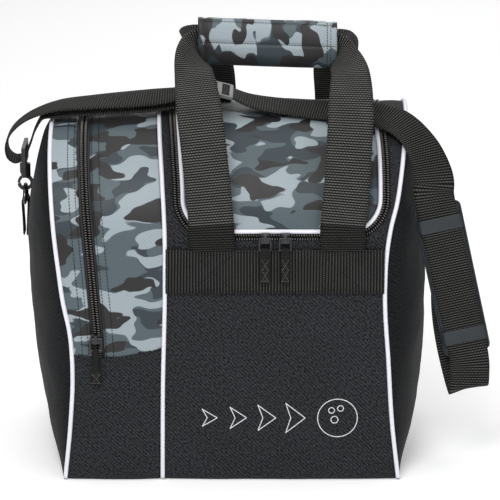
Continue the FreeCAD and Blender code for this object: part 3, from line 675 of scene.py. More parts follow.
grid, layout = [], []
for way in ways_from(LID_FRONT, HINGE_WAY + 7, LID_CORNER, 90):
    low, high = lid_edge(way, -1) + 1.0, lid_edge(way, 1) - 1.0
    line = [low + (high - low) * column / 60 for column in range(61)]
    grid.append([skin(x, way, lid_lift((x - low) / (high - low), way, x)) for x in line])
    layout.append([(x + 410, way + 265) for x in line])
lid_print = cloth_sheet("lid_print", grid, layout, PANEL_THICK, printed_fabric, None)
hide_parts("lid_panel")
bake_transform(lid_print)

# its lining: a thin black cloth sewn in under the print
lining_fabric = woven_finish(
    "lining_cloth", (0.011, 0.012, 0.013), (0.030, 0.032, 0.034), yarn=0.0009, twill=0.0022,
    relief=0.00005)
lining_grid = [[point - 3.6 * skin_out(way) for point in line]
               for way, line in zip(ways_from(LID_FRONT, HINGE_WAY + 7, LID_CORNER, 90), grid)][3:-3]
lining = cloth_sheet("lid_lining_cloth", lining_grid, layout[3:-3], 1.0, lining_fabric, None)
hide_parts("lid_lining")
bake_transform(lining)


# ------------------------------------------------------------------ strips beside the lid
# Black polyester between the lid's zipper and the two upper seams. Each strip turns the
# lid's front corner and ends in the front panel's top edge.

TAPE_OUT = 11.0  # from the lid's edge to the strips' edge, across the zipper's tape


def strip_lift(share, way, x):
    """Nearly flat, with a fold where the cloth turns the corner."""
    return 0.3 + max(0.0, math.sin(math.pi * share)) * (1.2 + 1.4 * ripple(x, way, 26, 20.0))


for side, node in ((-1, "left_top_strip"), (1, "right_top_strip")):
    grid, layout = [], []
    for way in ways_from(LID_FRONT - TAPE_OUT, HINGE_WAY + 1, LID_CORNER + TAPE_OUT, 80):
        inner = lid_edge(way, side, TAPE_OUT) - side * 0.6
        outer = seam_mid(way) + SEAM if side < 0 else seam_right(way) - SEAM
        low, high = (outer, inner) if side < 0 else (inner, outer)
        line = [low + (high - low) * column / 22 for column in range(23)]
        grid.append([skin(x, way, strip_lift((x - low) / (high - low), way, x)) for x in line])
        layout.append([(x, way) for x in line])
    strip = cloth_sheet(node + "_cloth", grid, layout, PANEL_THICK, body_fabric)
    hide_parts(node)


# ------------------------------------------------------------------ piping
# White piping: a cord inside a bias strip of satin-coated cloth, caught in each seam of the
# body and round the lid. It stands half out of the fabric.

piping_finish, tree, shader = new_finish(
    "white_piping", (0.80, 0.79, 0.85), 0.42, Specular_IOR_Level=0.5, Sheen_Weight=0.1)
place = cloth_place(tree, True)
parts = tree.nodes.new("ShaderNodeSeparateXYZ")
tree.links.new(place, parts.inputs[0])
yarns = weave_height(tree, parts.outputs[0], parts.outputs[1], 0.0009)
smudge = step(tree, "ShaderNodeTexNoise", place, None, 45.0, 4.0, 0.6)
tree.links.new(blend_colour(tree, calc(tree, "MULTIPLY", smudge, 0.35), (0.83, 0.82, 0.88),
                            (0.66, 0.65, 0.73)), shader.inputs["Base Color"])
raise_by(tree, shader, yarns, 0.00005)


def tube(name, path, radius, finish, body, sides=12, squash=1.0):
    """A round cord along a path, closed at both ends. Each point comes with its outward side."""
    centres = np.array([point for point, _ in path], float)
    outs = np.array([out for _, out in path], float)
    runs = np.gradient(centres, axis=0)
    runs /= np.maximum(np.linalg.norm(runs, axis=1, keepdims=True), 1e-9)
    points, layout, faces = [], [], []
    way = 0.0
    for number, (centre, run, out) in enumerate(zip(centres, runs, outs)):
        if number:
            way += float(np.linalg.norm(centre - centres[number - 1]))
        side = np.cross(run, out)
        side /= max(np.linalg.norm(side), 1e-9)
        up = np.cross(side, run)
        for turn in range(sides):
            angle = 2 * math.pi * turn / sides
            points.append(centre + radius * (math.cos(angle) * side + math.sin(angle) * squash * up))
            layout.append((radius * angle, way))
    for ring in range(len(centres) - 1):
        for turn in range(sides):
            a, b = ring * sides + turn, ring * sides + (turn + 1) % sides
            faces.append((a, b, b + sides, a + sides))
    last = (len(centres) - 1) * sides
    faces.append(tuple(reversed(range(sides))))
    faces.append(tuple(range(last, last + sides)))
    return add_piece(name, points, faces, layout, finish, body)


def skin_path(edge, start, end, lift, pace=3.0):
    """Points and outward sides along an edge of the skin."""
    count = int(abs(end - start) / pace)
    ways = [start + (end - start) * number / count for number in range(count + 1)]
    return [(skin(edge(way), way, lift), skin_out(way)) for way in ways]


for name, seam in (("left", seam_left), ("middle", seam_mid), ("right", seam_right)):
    line = (lambda way: seam_mid(way) + 0.6) if name == "middle" else seam
    cord = tube(f"{name}_piping_cord", skin_path(line, 2.1, WAY_ROUND - 2.1, 0.9), 2.15,
                piping_finish, "root")
    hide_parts(f"{name}_piping")


def round_lid(grown, end, lift, pace=2.5):
    """Points and outward sides round the lid, from the hinge down, across and back up."""
    flat = []
    low, corner = LID_FRONT - grown, LID_CORNER + grown
    side_ways = np.arange(end, low + corner, -pace)
    flat += [(lid_edge(way, -1, grown), way) for way in side_ways]
    turns = max(6, int(corner * math.pi / 2 / pace))
    left_x = lid_left(low + corner) - grown + corner
    right_x = lid_right(low + corner) + grown - corner
    flat += [(left_x - corner * math.cos(math.pi / 2 * turn / turns),
              low + corner - corner * math.sin(math.pi / 2 * turn / turns)) for turn in range(turns)]
    flat += [(x, low) for x in np.arange(left_x, right_x, pace)]
    flat += [(right_x + corner * math.sin(math.pi / 2 * turn / turns),
              low + corner - corner * math.cos(math.pi / 2 * turn / turns)) for turn in range(turns)]
    flat += [(lid_edge(way, 1, grown), way) for way in side_ways[::-1]]
    return [(skin(x, way, lift), skin_out(way)) for x, way in flat]


lid_cord = tube("lid_piping_cord", round_lid(0.6, HINGE_WAY - 3, 0.9), 2.1, piping_finish, None)
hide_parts("lid_piping")
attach(lid_cord, "lid")


# ------------------------------------------------------------------ zippers
# Two nylon coil zippers. Their black twill tape is sewn in behind the fabric's edges; the
# coil is two spirals of nylon wire that hook into each other.

def bare_strip(name, path, width, thick, finish, columns=6):
    """A flat tape along a path, lying on the skin."""
    grid, layout = [], []
    centres = np.array([point for point, _ in path], float)
    runs = np.gradient(centres, axis=0)
    way = 0.0
    for number, ((point, out), run) in enumerate(zip(path, runs)):
        if number:
            way += float(np.linalg.norm(centres[number] - centres[number - 1]))
        side = np.cross(run, out)
        side /= max(np.linalg.norm(side), 1e-9)
        grid.append([point + side * (width * (0.5 - column / columns)) for column in range(columns + 1)])
        layout.append([(width * column / columns, way) for column in range(columns + 1)])
    grid = [list(reversed(line)) for line in grid]
    return cloth_sheet(name, grid, layout, thick, finish, "root")


tape_finish, tree, shader = new_finish(
    "zipper_tape", (0.012, 0.012, 0.013), 0.6, Specular_IOR_Level=0.35, Sheen_Weight=0.1)
place = cloth_place(tree, True)
parts = tree.nodes.new("ShaderNodeSeparateXYZ")
tree.links.new(place, parts.inputs[0])
fold = calc(tree, "PINGPONG", parts.outputs[0], 0.0012)
slant = calc(tree, "SINE", calc(tree, "MULTIPLY", calc(tree, "ADD", fold, parts.outputs[1]),
                                2 * math.pi / 0.0013))
herring = calc(tree, "MULTIPLY_ADD", slant, 0.5, 0.5)
tree.links.new(blend_colour(tree, herring, (0.008, 0.008, 0.009), (0.028, 0.027, 0.027)),
               shader.inputs["Base Color"])
raise_by(tree, shader, herring, 0.0001)

# Painted highlight: the black nylon coil turns are coloured pale grey for the gleam on their glossy tops.
coil_highlight_painted_finish, tree, shader = new_finish("nylon_coil_highlight_painted", (0.03, 0.03, 0.03), 0.3,
                                       Specular_IOR_Level=0.5)
place = cloth_place(tree, False)
speck = step(tree, "ShaderNodeTexNoise", place, None, 500.0, 3.0, 0.6)
tree.links.new(blend_colour(tree, speck, (0.055, 0.052, 0.050), (0.21, 0.20, 0.192)),
               shader.inputs["Base Color"])
tree.links.new(calc(tree, "MULTIPLY_ADD", speck, 0.3, 0.2), shader.inputs["Roughness"])
raise_by(tree, shader, speck, 0.00004)

# Painted shade: the cord under the coil is near black, for the shade in the gaps between the turns.
cord_shade_painted_finish = grained_finish("coil_cord_shade_painted", (0.003, 0.003, 0.003),
                             (0.001, 0.001, 0.001), (0.006, 0.006, 0.006), 0.8,
                             "ShaderNodeTexNoise", (900.0, 2.0, 0.6), Specular_IOR_Level=0.05)


def repeat_tree():
    """Repeats one rounded bead at a pitch along lines, turned along them and out of the cloth."""
    tree = bpy.data.node_groups.new("beads_along_lines", "GeometryNodeTree")
    tree.interface.new_socket("Lines", in_out="INPUT", socket_type="NodeSocketGeometry")
    for label, default in (("Pitch", 0.002), ("Bead length", 0.002), ("Bead width", 0.0005),
                           ("Bead height", 0.0005), ("Unevenness", 0.05)):
        made = tree.interface.new_socket(label, in_out="INPUT", socket_type="NodeSocketFloat")
        made.default_value = default
    tree.interface.new_socket("Finish", in_out="INPUT", socket_type="NodeSocketMaterial")
    tree.interface.new_socket("Beads", in_out="OUTPUT", socket_type="NodeSocketGeometry")
    entry = tree.nodes.new("NodeGroupInput")
    leave = tree.nodes.new("NodeGroupOutput")
    lines = step(tree, "GeometryNodeMeshToCurve", entry.outputs["Lines"])
    spread = tree.nodes.new("GeometryNodeResampleCurve")
    spread.mode = "LENGTH"
    tree.links.new(lines, spread.inputs["Curve"])
    tree.links.new(entry.outputs["Pitch"], spread.inputs["Length"])
    bead = tree.nodes.new("GeometryNodeMeshUVSphere")
    bead.inputs["Segments"].default_value = 6
    bead.inputs["Rings"].default_value = 5
    bead.inputs["Radius"].default_value = 0.5
    size = tree.nodes.new("ShaderNodeCombineXYZ")
    for label, socket in (("Bead length", 0), ("Bead width", 1), ("Bead height", 2)):
        tree.links.new(entry.outputs[label], size.inputs[socket])
    shaped = tree.nodes.new("GeometryNodeTransform")
    tree.links.new(bead.outputs["Mesh"], shaped.inputs["Geometry"])
    tree.links.new(size.outputs[0], shaped.inputs["Scale"])
    run = tree.nodes.new("GeometryNodeInputNamedAttribute")
    run.data_type = "FLOAT_VECTOR"
    run.inputs["Name"].default_value = "run"
    out = tree.nodes.new("GeometryNodeInputNamedAttribute")
    out.data_type = "FLOAT_VECTOR"
    out.inputs["Name"].default_value = "out"
    along = tree.nodes.new("FunctionNodeAlignRotationToVector")
    along.axis = "X"
    tree.links.new(run.outputs[0], along.inputs["Vector"])
    upright = tree.nodes.new("FunctionNodeAlignRotationToVector")
    upright.axis, upright.pivot_axis = "Z", "X"
    tree.links.new(along.outputs[0], upright.inputs["Rotation"])
    tree.links.new(out.outputs[0], upright.inputs["Vector"])
    chance = tree.nodes.new("FunctionNodeRandomValue")
    chance.data_type = "FLOAT"
    chance.inputs["Seed"].default_value = 7
    tree.links.new(calc(tree, "SUBTRACT", 1.0, entry.outputs["Unevenness"]), chance.inputs[2])
    tree.links.new(calc(tree, "ADD", 1.0, entry.outputs["Unevenness"]), chance.inputs[3])
    put = tree.nodes.new("GeometryNodeInstanceOnPoints")
    tree.links.new(spread.outputs[0], put.inputs["Points"])
    tree.links.new(shaped.outputs[0], put.inputs["Instance"])
    tree.links.new(upright.outputs[0], put.inputs["Rotation"])
    tree.links.new(chance.outputs[1], put.inputs["Scale"])
    real = step(tree, "GeometryNodeRealizeInstances", put.outputs[0])
    soft = step(tree, "GeometryNodeSetShadeSmooth", real)
    done = tree.nodes.new("GeometryNodeSetMaterial")
    tree.links.new(soft, done.inputs["Geometry"])
    tree.links.new(entry.outputs["Finish"], done.inputs["Material"])
    tree.links.new(done.outputs[0], leave.inputs[0])
    return tree


beads_along_lines = repeat_tree()


def beads(name, lines, pitch, length, width, height, finish, body, uneven=0.06, slants=None):
    """Runs the bead tree on lines of (point, outward side), and keeps the result as a mesh."""
    points, edges, outs, runs = [], [], [], []
    for line_number, line in enumerate(lines):
        slant = slants[line_number] if slants else 0.0
        for run, (_, out) in zip(np.gradient(np.array([point for point, _ in line], float), axis=0), line):
            across = np.cross(out, run)
            runs.append(tuple(run * math.cos(slant) + across * math.sin(slant)))
        first = len(points)
        points += [tuple(np.asarray(point) * MM) for point, _ in line]
        outs += [tuple(out) for _, out in line]
        edges += [(number, number + 1) for number in range(first, len(points) - 1)]
    guide_mesh = bpy.data.meshes.new(name + "_guide")
    guide_mesh.from_pydata(points, edges, [])
    side = guide_mesh.attributes.new("out", "FLOAT_VECTOR", "POINT")
    side.data.foreach_set("vector", np.array(outs, float).ravel())
    ahead = guide_mesh.attributes.new("run", "FLOAT_VECTOR", "POINT")
    ahead.data.foreach_set("vector", np.array(runs, float).ravel())
    guide = bpy.data.objects.new(name + "_guide", guide_mesh)
    bpy.context.scene.collection.objects.link(guide)
    modifier = guide.modifiers.new("beads", "NODES")
    modifier.node_group = beads_along_lines
    values = {"Pitch": pitch * MM, "Bead length": length * MM, "Bead width": width * MM,
              "Bead height": height * MM, "Unevenness": uneven, "Finish": finish}
    for item in beads_along_lines.interface.items_tree:
        if item.in_out == "INPUT" and item.name in values:
            modifier[item.identifier] = values[item.name]
    bpy.context.view_layer.update()
    evaluated = guide.evaluated_get(bpy.context.evaluated_depsgraph_get())
    mesh = bpy.data.meshes.new_from_object(evaluated)
    mesh.name = name
    guide.modifiers.remove(modifier)
    bpy.data.objects.remove(guide)
    piece = bpy.data.objects.new(name, mesh)
    bpy.context.scene.collection.objects.link(piece)
    if body:
        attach(piece, body)
    return piece


def shifted(path, across, out=0.0):
    """A path moved sideways over the cloth and out of it."""
    centres = np.array([point for point, _ in path], float)
    runs = np.gradient(centres, axis=0)
    moved = []
    for (point, up), run in zip(path, runs):
        side = np.cross(run, up)
        side /= max(np.linalg.norm(side), 1e-9)
        moved.append((point + side * across + np.asarray(up) * out, up))
    return moved


def zipper(name, path, tape_width, tape_node, coil_node):
    """Tape, two rows of coil turns a half pitch apart, and the cord they are sewn round, near black as
    painted shade in the gaps between the turns.
    """
    tape = bare_strip(name + "_tape_cloth", shifted(path, 0, -1.6), tape_width, 0.8, tape_finish,
                      8)
    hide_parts(tape_node)
    rows = []
    for side, delay in ((-1, 0), (1, 1)):
        rows.append(shifted(path, side * 2.0, 0.1)[delay:])
    # the coil turns carry a painted highlight in their colour
    teeth = beads(name + "_coil_turns", rows, 2.5, 1.2, 3.3, 2.3, coil_highlight_painted_finish, "root",
                  0.02, (0.22, -0.22))
    # the near-black core is painted shade between the coil turns
    core = tube(name + "_coil_core", shifted(path, 0, -0.75), 3.9, cord_shade_painted_finish, "root",
                8, 0.2)
    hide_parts(coil_node)
    return core


zipper("main_zipper", round_lid(6.2, HINGE_WAY + 2, 0.6, 2.0), 11.5, "main_zipper_tape",
       "main_zipper_coil")
zipper("shoe_zipper", skin_path(shoe_zip, 133, SHOE_ZIP_END + 4, 0.9, 2.0), 13.0,
       "shoe_zipper_tape", "shoe_zipper_coil")


# ------------------------------------------------------------------ sliders and wire loops
# Die-cast sliders, enamelled black, each with a bent wire loop through its bridge that
# carries the pull.

metal_finish, tree, shader = new_finish("black_enamelled_metal", (0.022, 0.022, 0.024), 0.28,
                                        Metallic=0.85, Specular_IOR_Level=0.6)
place = cloth_place(tree, False)
cast = step(tree, "ShaderNodeTexNoise", place, None, 700.0, 3.0, 0.6)
worn = step(tree, "ShaderNodeTexNoise", place, None, 190.0, 4.0, 0.7)
bare = calc(tree, "GREATER_THAN", worn, 0.66)
tree.links.new(blend_colour(tree, calc(tree, "MULTIPLY", bare, 0.5), (0.045, 0.045, 0.048),
                            (0.36, 0.35, 0.33)), shader.inputs["Base Color"])
tree.links.new(calc(tree, "MULTIPLY_ADD", cast, 0.25, 0.16), shader.inputs["Roughness"])
raise_by(tree, shader, cast, 0.00003)
refinish(metal_finish, "left_slider", "right_slider", "shoe_slider",
         "left_pull_loop", "right_pull_loop", "shoe_pull_loop")


# ------------------------------------------------------------------ webbing
# Polypropylene webbing, woven with heavy ribs across it that break into short bright dashes.
# It makes the bands, both handles, the shoulder strap and the tabs of the D-rings.

RIB = 2.6
DASH = 3.1


def webbing_finish(name, low, high, rib=RIB, dash=DASH, laid_out=True, shade_painted_end=0.0):
    """Ribs across the webbing, each a row of raised dashes, every other row moved by half. Given an end
    length, the webbing is darkened up to it as painted shade.
    """
    finish, tree, shader = new_finish(name, low, 0.6, Specular_IOR_Level=0.09)
    place = cloth_place(tree, laid_out)
    parts = tree.nodes.new("ShaderNodeSeparateXYZ")
    tree.links.new(place, parts.inputs[0])
    across, along = parts.outputs[0], parts.outputs[1 if laid_out else 2]
    if not laid_out:
        across = calc(tree, "ADD", parts.outputs[0], parts.outputs[1])
    row = calc(tree, "DIVIDE", along, rib * MM)
    crest = calc(tree, "SINE", calc(tree, "MULTIPLY", calc(tree, "FRACT", row), math.pi))
    moved = calc(tree, "MULTIPLY", calc(tree, "FLOOR", row), 0.5)
    column = calc(tree, "ADD", calc(tree, "DIVIDE", across, dash * MM), moved)
    bead = calc(tree, "SINE", calc(tree, "MULTIPLY", calc(tree, "FRACT", column), math.pi))
    raised = calc(tree, "MULTIPLY", calc(tree, "POWER", crest, 4.0),
                  calc(tree, "MULTIPLY_ADD", calc(tree, "POWER", bead, 1.5), 0.66, 0.34))
    fuzz = step(tree, "ShaderNodeTexNoise", place, None, 1100.0, 2.0, 0.6)
    broad = step(tree, "ShaderNodeTexNoise", place, None, 40.0, 3.0, 0.6)
    share = calc(tree, "MULTIPLY", raised, calc(tree, "MULTIPLY_ADD", broad, 0.7, 0.55))
    share = calc(tree, "MULTIPLY", share, calc(tree, "MULTIPLY_ADD", fuzz, 0.8, 0.55))
    # Painted shade: the webbing is darkened over its first stretch, where it comes out from under the band
    # and turns down.
    if shade_painted_end:
        past = calc(tree, "GREATER_THAN", along, shade_painted_end * MM)
        share = calc(tree, "MULTIPLY", share, calc(tree, "MULTIPLY_ADD", past, 0.7, 0.3))
    tree.links.new(blend_colour(tree, share, low, high), shader.inputs["Base Color"])
    tree.links.new(calc(tree, "MULTIPLY_ADD", fuzz, 0.3, 0.46), shader.inputs["Roughness"])
    raise_by(tree, shader, calc(tree, "MULTIPLY_ADD", fuzz, 0.25, raised), 0.00035)
    return finish


webbing_black = webbing_finish("ribbed_webbing", (0.0015, 0.0015, 0.0014), (0.105, 0.105, 0.096))
# the legs' finish is darkened over their lowest 28 mm as painted shade
webbing_legs = webbing_finish("ribbed_webbing_legs", (0.0015, 0.0015, 0.0014), (0.19, 0.19, 0.178),
                              shade_painted_end=28.0)
webbing_band = webbing_finish("chain_webbing", (0.0035, 0.0035, 0.0034), (0.080, 0.080, 0.076),
                              rib=3.0, dash=2.2)


def smooth_route(stations, pace):
    """Evenly spaced (point, across, width) along a smooth curve through the stations."""
    table = np.array([(*point, *across, width) for point, across, width in stations], float)
    gaps = np.linalg.norm(np.diff(table[:, :3], axis=0), axis=1)
    knots = np.concatenate([[0], np.cumsum(np.sqrt(gaps))])
    slopes = np.gradient(table, knots, axis=0)
    fine = []
    for number in range(len(table) - 1):
        span = knots[number + 1] - knots[number]
        for share in np.linspace(0, 1, 24, endpoint=False):
            fine.append(
                table[number] * (1 + 2 * share) * (1 - share) ** 2
                + slopes[number] * span * share * (1 - share) ** 2
                + table[number + 1] * share * share * (3 - 2 * share)
                + slopes[number + 1] * span * share * share * (share - 1))
    fine.append(table[-1])
    fine = np.array(fine)
    ways = np.concatenate([[0], np.cumsum(np.linalg.norm(np.diff(fine[:, :3], axis=0), axis=1))])
    count = int(ways[-1] / pace)
    at = np.linspace(0, ways[-1], count + 1)
    return at, np.stack([np.interp(at, ways, fine[:, column]) for column in range(7)], axis=1)


def webbing(name, stations, thick, body, finish=None, rib=RIB, columns=10,
            rib_height=0.30, kept=(0.0, 1.0)):
    """Ribbed webbing along stations of (point, direction across, width), or a share of it, closed."""
    at, route = smooth_route(stations, rib / 4)
    centres, sides, widths = route[:, :3], route[:, 3:6], route[:, 6]
    runs = np.gradient(centres, axis=0)
    runs /= np.maximum(np.linalg.norm(runs, axis=1, keepdims=True), 1e-9)
    sides = sides - runs * np.sum(sides * runs, axis=1, keepdims=True)
    sides /= np.maximum(np.linalg.norm(sides, axis=1, keepdims=True), 1e-9)
    outs = np.cross(runs, sides)
    crest = rib_height * (0.5 - 0.5 * np.cos(2 * np.pi * at / rib))
    first, last = (round(share * (len(at) - 1)) for share in kept)
    at, centres, sides, widths, outs, crest = (
        part[first:last + 1] for part in (at, centres, sides, widths, outs, crest))
    ring = 2 * (columns + 1)
    points = np.zeros((len(at), ring, 3))
    layout = np.zeros((len(at), ring, 2))
    for column in range(columns + 1):
        share = column / columns - 0.5
        rounded = 1 - 0.45 * abs(2 * share) ** 8
        half = (thick / 2 - rib_height / 2 + crest) * rounded
        flat = centres + sides * (share * widths)[:, None]
        points[:, column] = flat + outs * half[:, None]
        points[:, ring - 1 - column] = flat - outs * half[:, None]
        layout[:, column] = np.stack([share * widths, at], axis=1)
        layout[:, ring - 1 - column] = layout[:, column]
    rows = len(at)
    faces = []
    for row in range(rows - 1):
        for column in range(ring):
            a, b = row * ring + column, row * ring + (column + 1) % ring
            faces.append((a, a + ring, b + ring, b))
    for column in range(columns):
        a, b = column, ring - 1 - column
        faces.append((a, a + 1, b - 1, b))
        last = (rows - 1) * ring
        faces.append((last + a, last + b, last + b - 1, last + a + 1))
    return add_piece(name, points.reshape(-1, 3), faces, layout.reshape(-1, 2),
                     finish or webbing_black, body)


thread_finish = grained_finish("black_thread", (0.006, 0.006, 0.006),
                               (0.003, 0.003, 0.003), (0.012, 0.012, 0.011), 0.5,
                               "ShaderNodeTexNoise", (1500.0, 2.0, 0.6), 0.00005,
                               Specular_IOR_Level=0.25)


def sewn(name, lines, body="root", pitch=3.2, length=2.5, finish=None, width=0.75):
    """Stitches along lines on the cloth."""
    return beads(name, lines, pitch, length, width, 0.6, finish or thread_finish, body,
                 0.08)


def straight(first, second, out, count=12):
    """A straight line of stitches between two points."""
    first, second = np.asarray(first, float), np.asarray(second, float)
    return [(first + (second - first) * number / count, np.asarray(out, float))
            for number in range(count + 1)]


# two bands across the ball compartment, with the ends of the handles sewn under them
LEG_LEFT, LEG_RIGHT = -19.0, 110.0
for name, sign in (("front", -1), ("back", 1)):
    def band_point(x, sign=sign):
        sway = 0.8 * ripple(x, 0, 45, 30 + sign)
        return (x, sign * (HALF_DEPTH + 3.2 + 0.35 * ripple(x, 3, 38, 33)), 218.5 + sway)

    left_end = seam_mid(218) + 1.4
    right_end = seam_right(218) - 1.2
    xs = np.linspace(left_end, right_end, 24)
    stations = [(band_point(x), (0, 0, sign), 45.0) for x in xs]
    band = webbing(f"{name}_band_webbing", stations, 1.7, "root", webbing_band, 3.0, 12)
    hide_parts(f"{name}_band", f"{name}_handle_ends")
    out = (0, sign, 0)
    y = sign * (HALF_DEPTH + 4.15)
    lines = []
    for leg in (LEG_LEFT, LEG_RIGHT):
        left, right, low, high = leg - 19.5, leg + 19.5, 200.5, 236.0
        lines += [
            straight((left, y, low), (right, y, low), out), straight((left, y, high), (right, y, high), out),
            straight((left, y, low), (left, y, high), out), straight((right, y, low), (right, y, high), out),
            straight((left, y, low), (right, y, high), out), straight((left, y, high), (right, y, low), out),
        ]
    lines += [straight((left_end + 2, y, 198.2), (right_end - 2, y, 198.2), out, 40),
              straight((left_end + 2, y, 238.9), (right_end - 2, y, 238.9), out, 40)]
    sewn(f"{name}_band_stitches", lines)

# handles: two loops of webbing that rise from under the bands and gather into the wrap
GRIP_Z = 428.0
WRAP_LEFT, WRAP_RIGHT = -34.5, 106.0
RISE = [(125.0, 240.0), (128.4, 252), (129.8, 264), (128.0, 300), (118.5, 345), (98, 382),
        (66, 408)]
SPREAD = {
    ("front", "left"): [0, -0.5, -1, -4, -9, -14, -19],
    ("front", "right"): [0, 0, 0, 3, 6, 8, 8],
    ("back", "left"): [0, 0, 0, 0, 0, -3, -10],
    ("back", "right"): [0, 0, 0, 0, -1, -3, 1],
}
NARROWED = [1, 1, 1, 1, 1, 0.99, 0.86]
for name, sign, body in (("front", -1, "front_handle"), ("back", 1, "back_handle")):
    legs = []
    for side, leg in (("left", LEG_LEFT), ("right", LEG_RIGHT)):
        stations = [
            ((leg + shift, sign * y, z), (1, 0, 0), 45.0 * wide)
            for (y, z), shift, wide in zip(RISE, SPREAD[name, side], NARROWED)]
        into = 1 if side == "left" else -1
        end_x = WRAP_LEFT if side == "left" else WRAP_RIGHT
        drop = 0 if side == "left" else -4.5
        stations += [
            ((end_x - 7.0 * into, sign * 36, 421 + drop), (0.80, 0, -0.60 * into), 33.0),
            ((end_x - 6.0 * into, sign * 20, 427 + drop), (0.45, 0, -0.89 * into), 27.0),
            ((end_x + 1.0 * into, sign * 11, 430 + drop), (0.12, 0, -0.99 * into), 24.0),
            ((end_x + 12.0 * into, sign * 8, 430 + drop), (0, 0, -into), 22.0)]
        legs.append(webbing(f"{name}_handle_{side}_leg", stations, 2.0, None, webbing_legs))
    grip = [((WRAP_LEFT + 8, sign * 8, GRIP_Z), (0, 0, 1), 22.0),
            ((36, sign * 8.5, GRIP_Z - 1), (0, 0, 1), 24.0),
            ((WRAP_RIGHT - 8, sign * 8, GRIP_Z - 3), (0, 0, 1), 22.0)]
    legs.append(webbing(f"{name}_handle_grip", grip, 4.0, None))
    for piece in legs[:2]:
        if name == "front":
            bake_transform(piece)
        else:
            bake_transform(piece)
    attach(legs[2], body)
    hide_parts(f"{name}_handle_webbing")

# ------------------------------------------------------------------ handle wrap
# A padded sleeve of printed cloth, sewn to the back handle. Its front flap folds up over both
# grips and closes with hook-and-loop tape; the edges are hemmed and topstitched.

wrap_print = camouflage("camouflage_wrap", 19.0, blob=(62.0, 34.0), light=0.49)
# The flap's print darkens toward its lower half: painted shade where the flap curves under.
flap_print = camouflage("camouflage_flap", 19.0, blob=(62.0, 34.0), light=0.49,
                        shade_painted_toward=(0.030, 0.014))
WRAP_DROP = 0.035  # the wrap hangs a little lower at its right end


def wrap_skin(outline, x, way, puff):
    """A point of the wrap: outline gives (depth, height) for a share of the way round."""
    share = (x - WRAP_LEFT) / (WRAP_RIGHT - WRAP_LEFT)
    y, z = outline(way)
    y_ahead, z_ahead = outline(min(1.0, way + 0.01))
    y_back, z_back = outline(max(0.0, way - 0.01))
    run = np.array((y_ahead - y_back, z_ahead - z_back))
    run /= max(np.linalg.norm(run), 1e-9)
    out = np.array((-run[1], run[0]))
    hem = 0.9 * (math.exp(-((share * 141 - 7) / 2.2) ** 2) + math.exp(-(((1 - share) * 141 - 8) / 3) ** 2))
    full = math.sin(math.pi * min(1, max(0, share))) ** 0.35
    lift = puff(share, way) * full - hem
    return np.array((x, y + out[0] * lift, z + out[1] * lift - WRAP_DROP * (x - 36)))


def through(points):
    """A smooth closed-form line through a few (depth, height) points, by share of the way."""
    shares = np.linspace(0, 1, len(points))
    depth = smooth_line(list(zip(shares, [y for y, _ in points])))
    height = smooth_line(list(zip(shares, [z for _, z in points])))
    return lambda way: (depth(way), height(way))


sleeve_outline = through([
    (-13.0, 430), (-13.6, 438), (-13.0, 444.5), (-7, 448), (3, 448.6), (12, 446.5), (17.5, 440),
    (19.5, 431), (19.5, 421), (17, 411.5), (10, 406), (0, 404.6), (-9, 405.2), (-14.2, 407.2)])
flap_outline = through([
    (-10.5, 404.2), (-14.6, 406.8), (-18.0, 411.5), (-20.6, 418), (-21.4, 426.5), (-20.6, 434),
    (-18.8, 441), (-16.4, 446.5), (-12.0, 450)])


def sleeve_puff(share, way):
    """Lightly padded all round, with soft dents."""
    return 0.8 * noise.noise(Vector((share * 4.2, way * 5, 41.0)))


def flap_puff(share, way):
    """Padded above and below the stitched line along its middle, with soft dents."""
    seam = math.exp(-((way - 0.52) / 0.035) ** 2) + 0.8 * math.exp(-((way - 0.93) / 0.03) ** 2)
    dents = noise.noise(Vector((share * 5.0, way * 3.2, 43.0)))
    return 1.5 - 1.6 * seam + 1.3 * dents * math.sin(math.pi * way)


for name, outline, puff, body, node, rows, girth, finish in (
    ("wrap_sleeve_print", sleeve_outline, sleeve_puff, "back_handle", "wrap_sleeve", 96, 135, wrap_print),
    ("wrap_flap_print", flap_outline, flap_puff, "wrap_flap", "wrap_flap", 72, 52, flap_print),
):
    grid, layout = [], []
    for row in range(101):
        x = WRAP_RIGHT - (WRAP_RIGHT - WRAP_LEFT) * row / 100
        grid.append([wrap_skin(outline, x, column / rows, puff) for column in range(rows + 1)])
        layout.append([(x, girth * column / rows) for column in range(rows + 1)])
    cover = cloth_sheet(name, grid, layout, 3.0, finish, body)
    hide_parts(node)

flap_lines = []
for way in (0.52, 0.93):
    flap_lines.append([
        (wrap_skin(flap_outline, x, way, flap_puff) + np.array((0, -0.1, 0.05)), (0, -0.9, 0.35))
        for x in np.linspace(WRAP_LEFT + 3, WRAP_RIGHT - 3, 60)])
for x in (WRAP_LEFT + 7, WRAP_RIGHT - 6.5, WRAP_RIGHT - 10):
    line = []
    for way in np.linspace(0.06, 0.97, 30):
        point = wrap_skin(flap_outline, x, way, flap_puff)
        line.append((point, (0, -1, (way - 0.4))))
    flap_lines.append(line)
sewn("wrap_flap_stitches", flap_lines, "wrap_flap", 2.6, 2.2, None, 0.95)

# hook-and-loop tape: a short bristle of nylon on a woven ground
fastener_finish = grained_finish("hook_and_loop", (0.012, 0.012, 0.013),
                                 (0.035, 0.035, 0.036), (0.008, 0.008, 0.008), 0.85,
                                 "ShaderNodeTexVoronoi", (1400.0,), 0.0003,
                                 Sheen_Weight=0.5, Sheen_Roughness=0.5)
refinish(fastener_finish, "wrap_hook_strip", "wrap_loop_strip")


# ------------------------------------------------------------------ pulls
# Each slider's wire loop carries a tail of doubled webbing, sewn through with a cross. The
# shoe zipper's tail is narrower, with a wider sewn end.

pull_webbing = webbing_finish("pull_webbing", (0.006, 0.006, 0.006), (0.045, 0.044, 0.040),
                              rib=1.5, dash=1.7)
grey_thread = grained_finish("grey_thread", (0.12, 0.12, 0.115),
                             (0.06, 0.06, 0.056), (0.20, 0.20, 0.19), 0.45,
                             "ShaderNodeTexNoise", (1500.0, 2.0, 0.6), 0.00005)

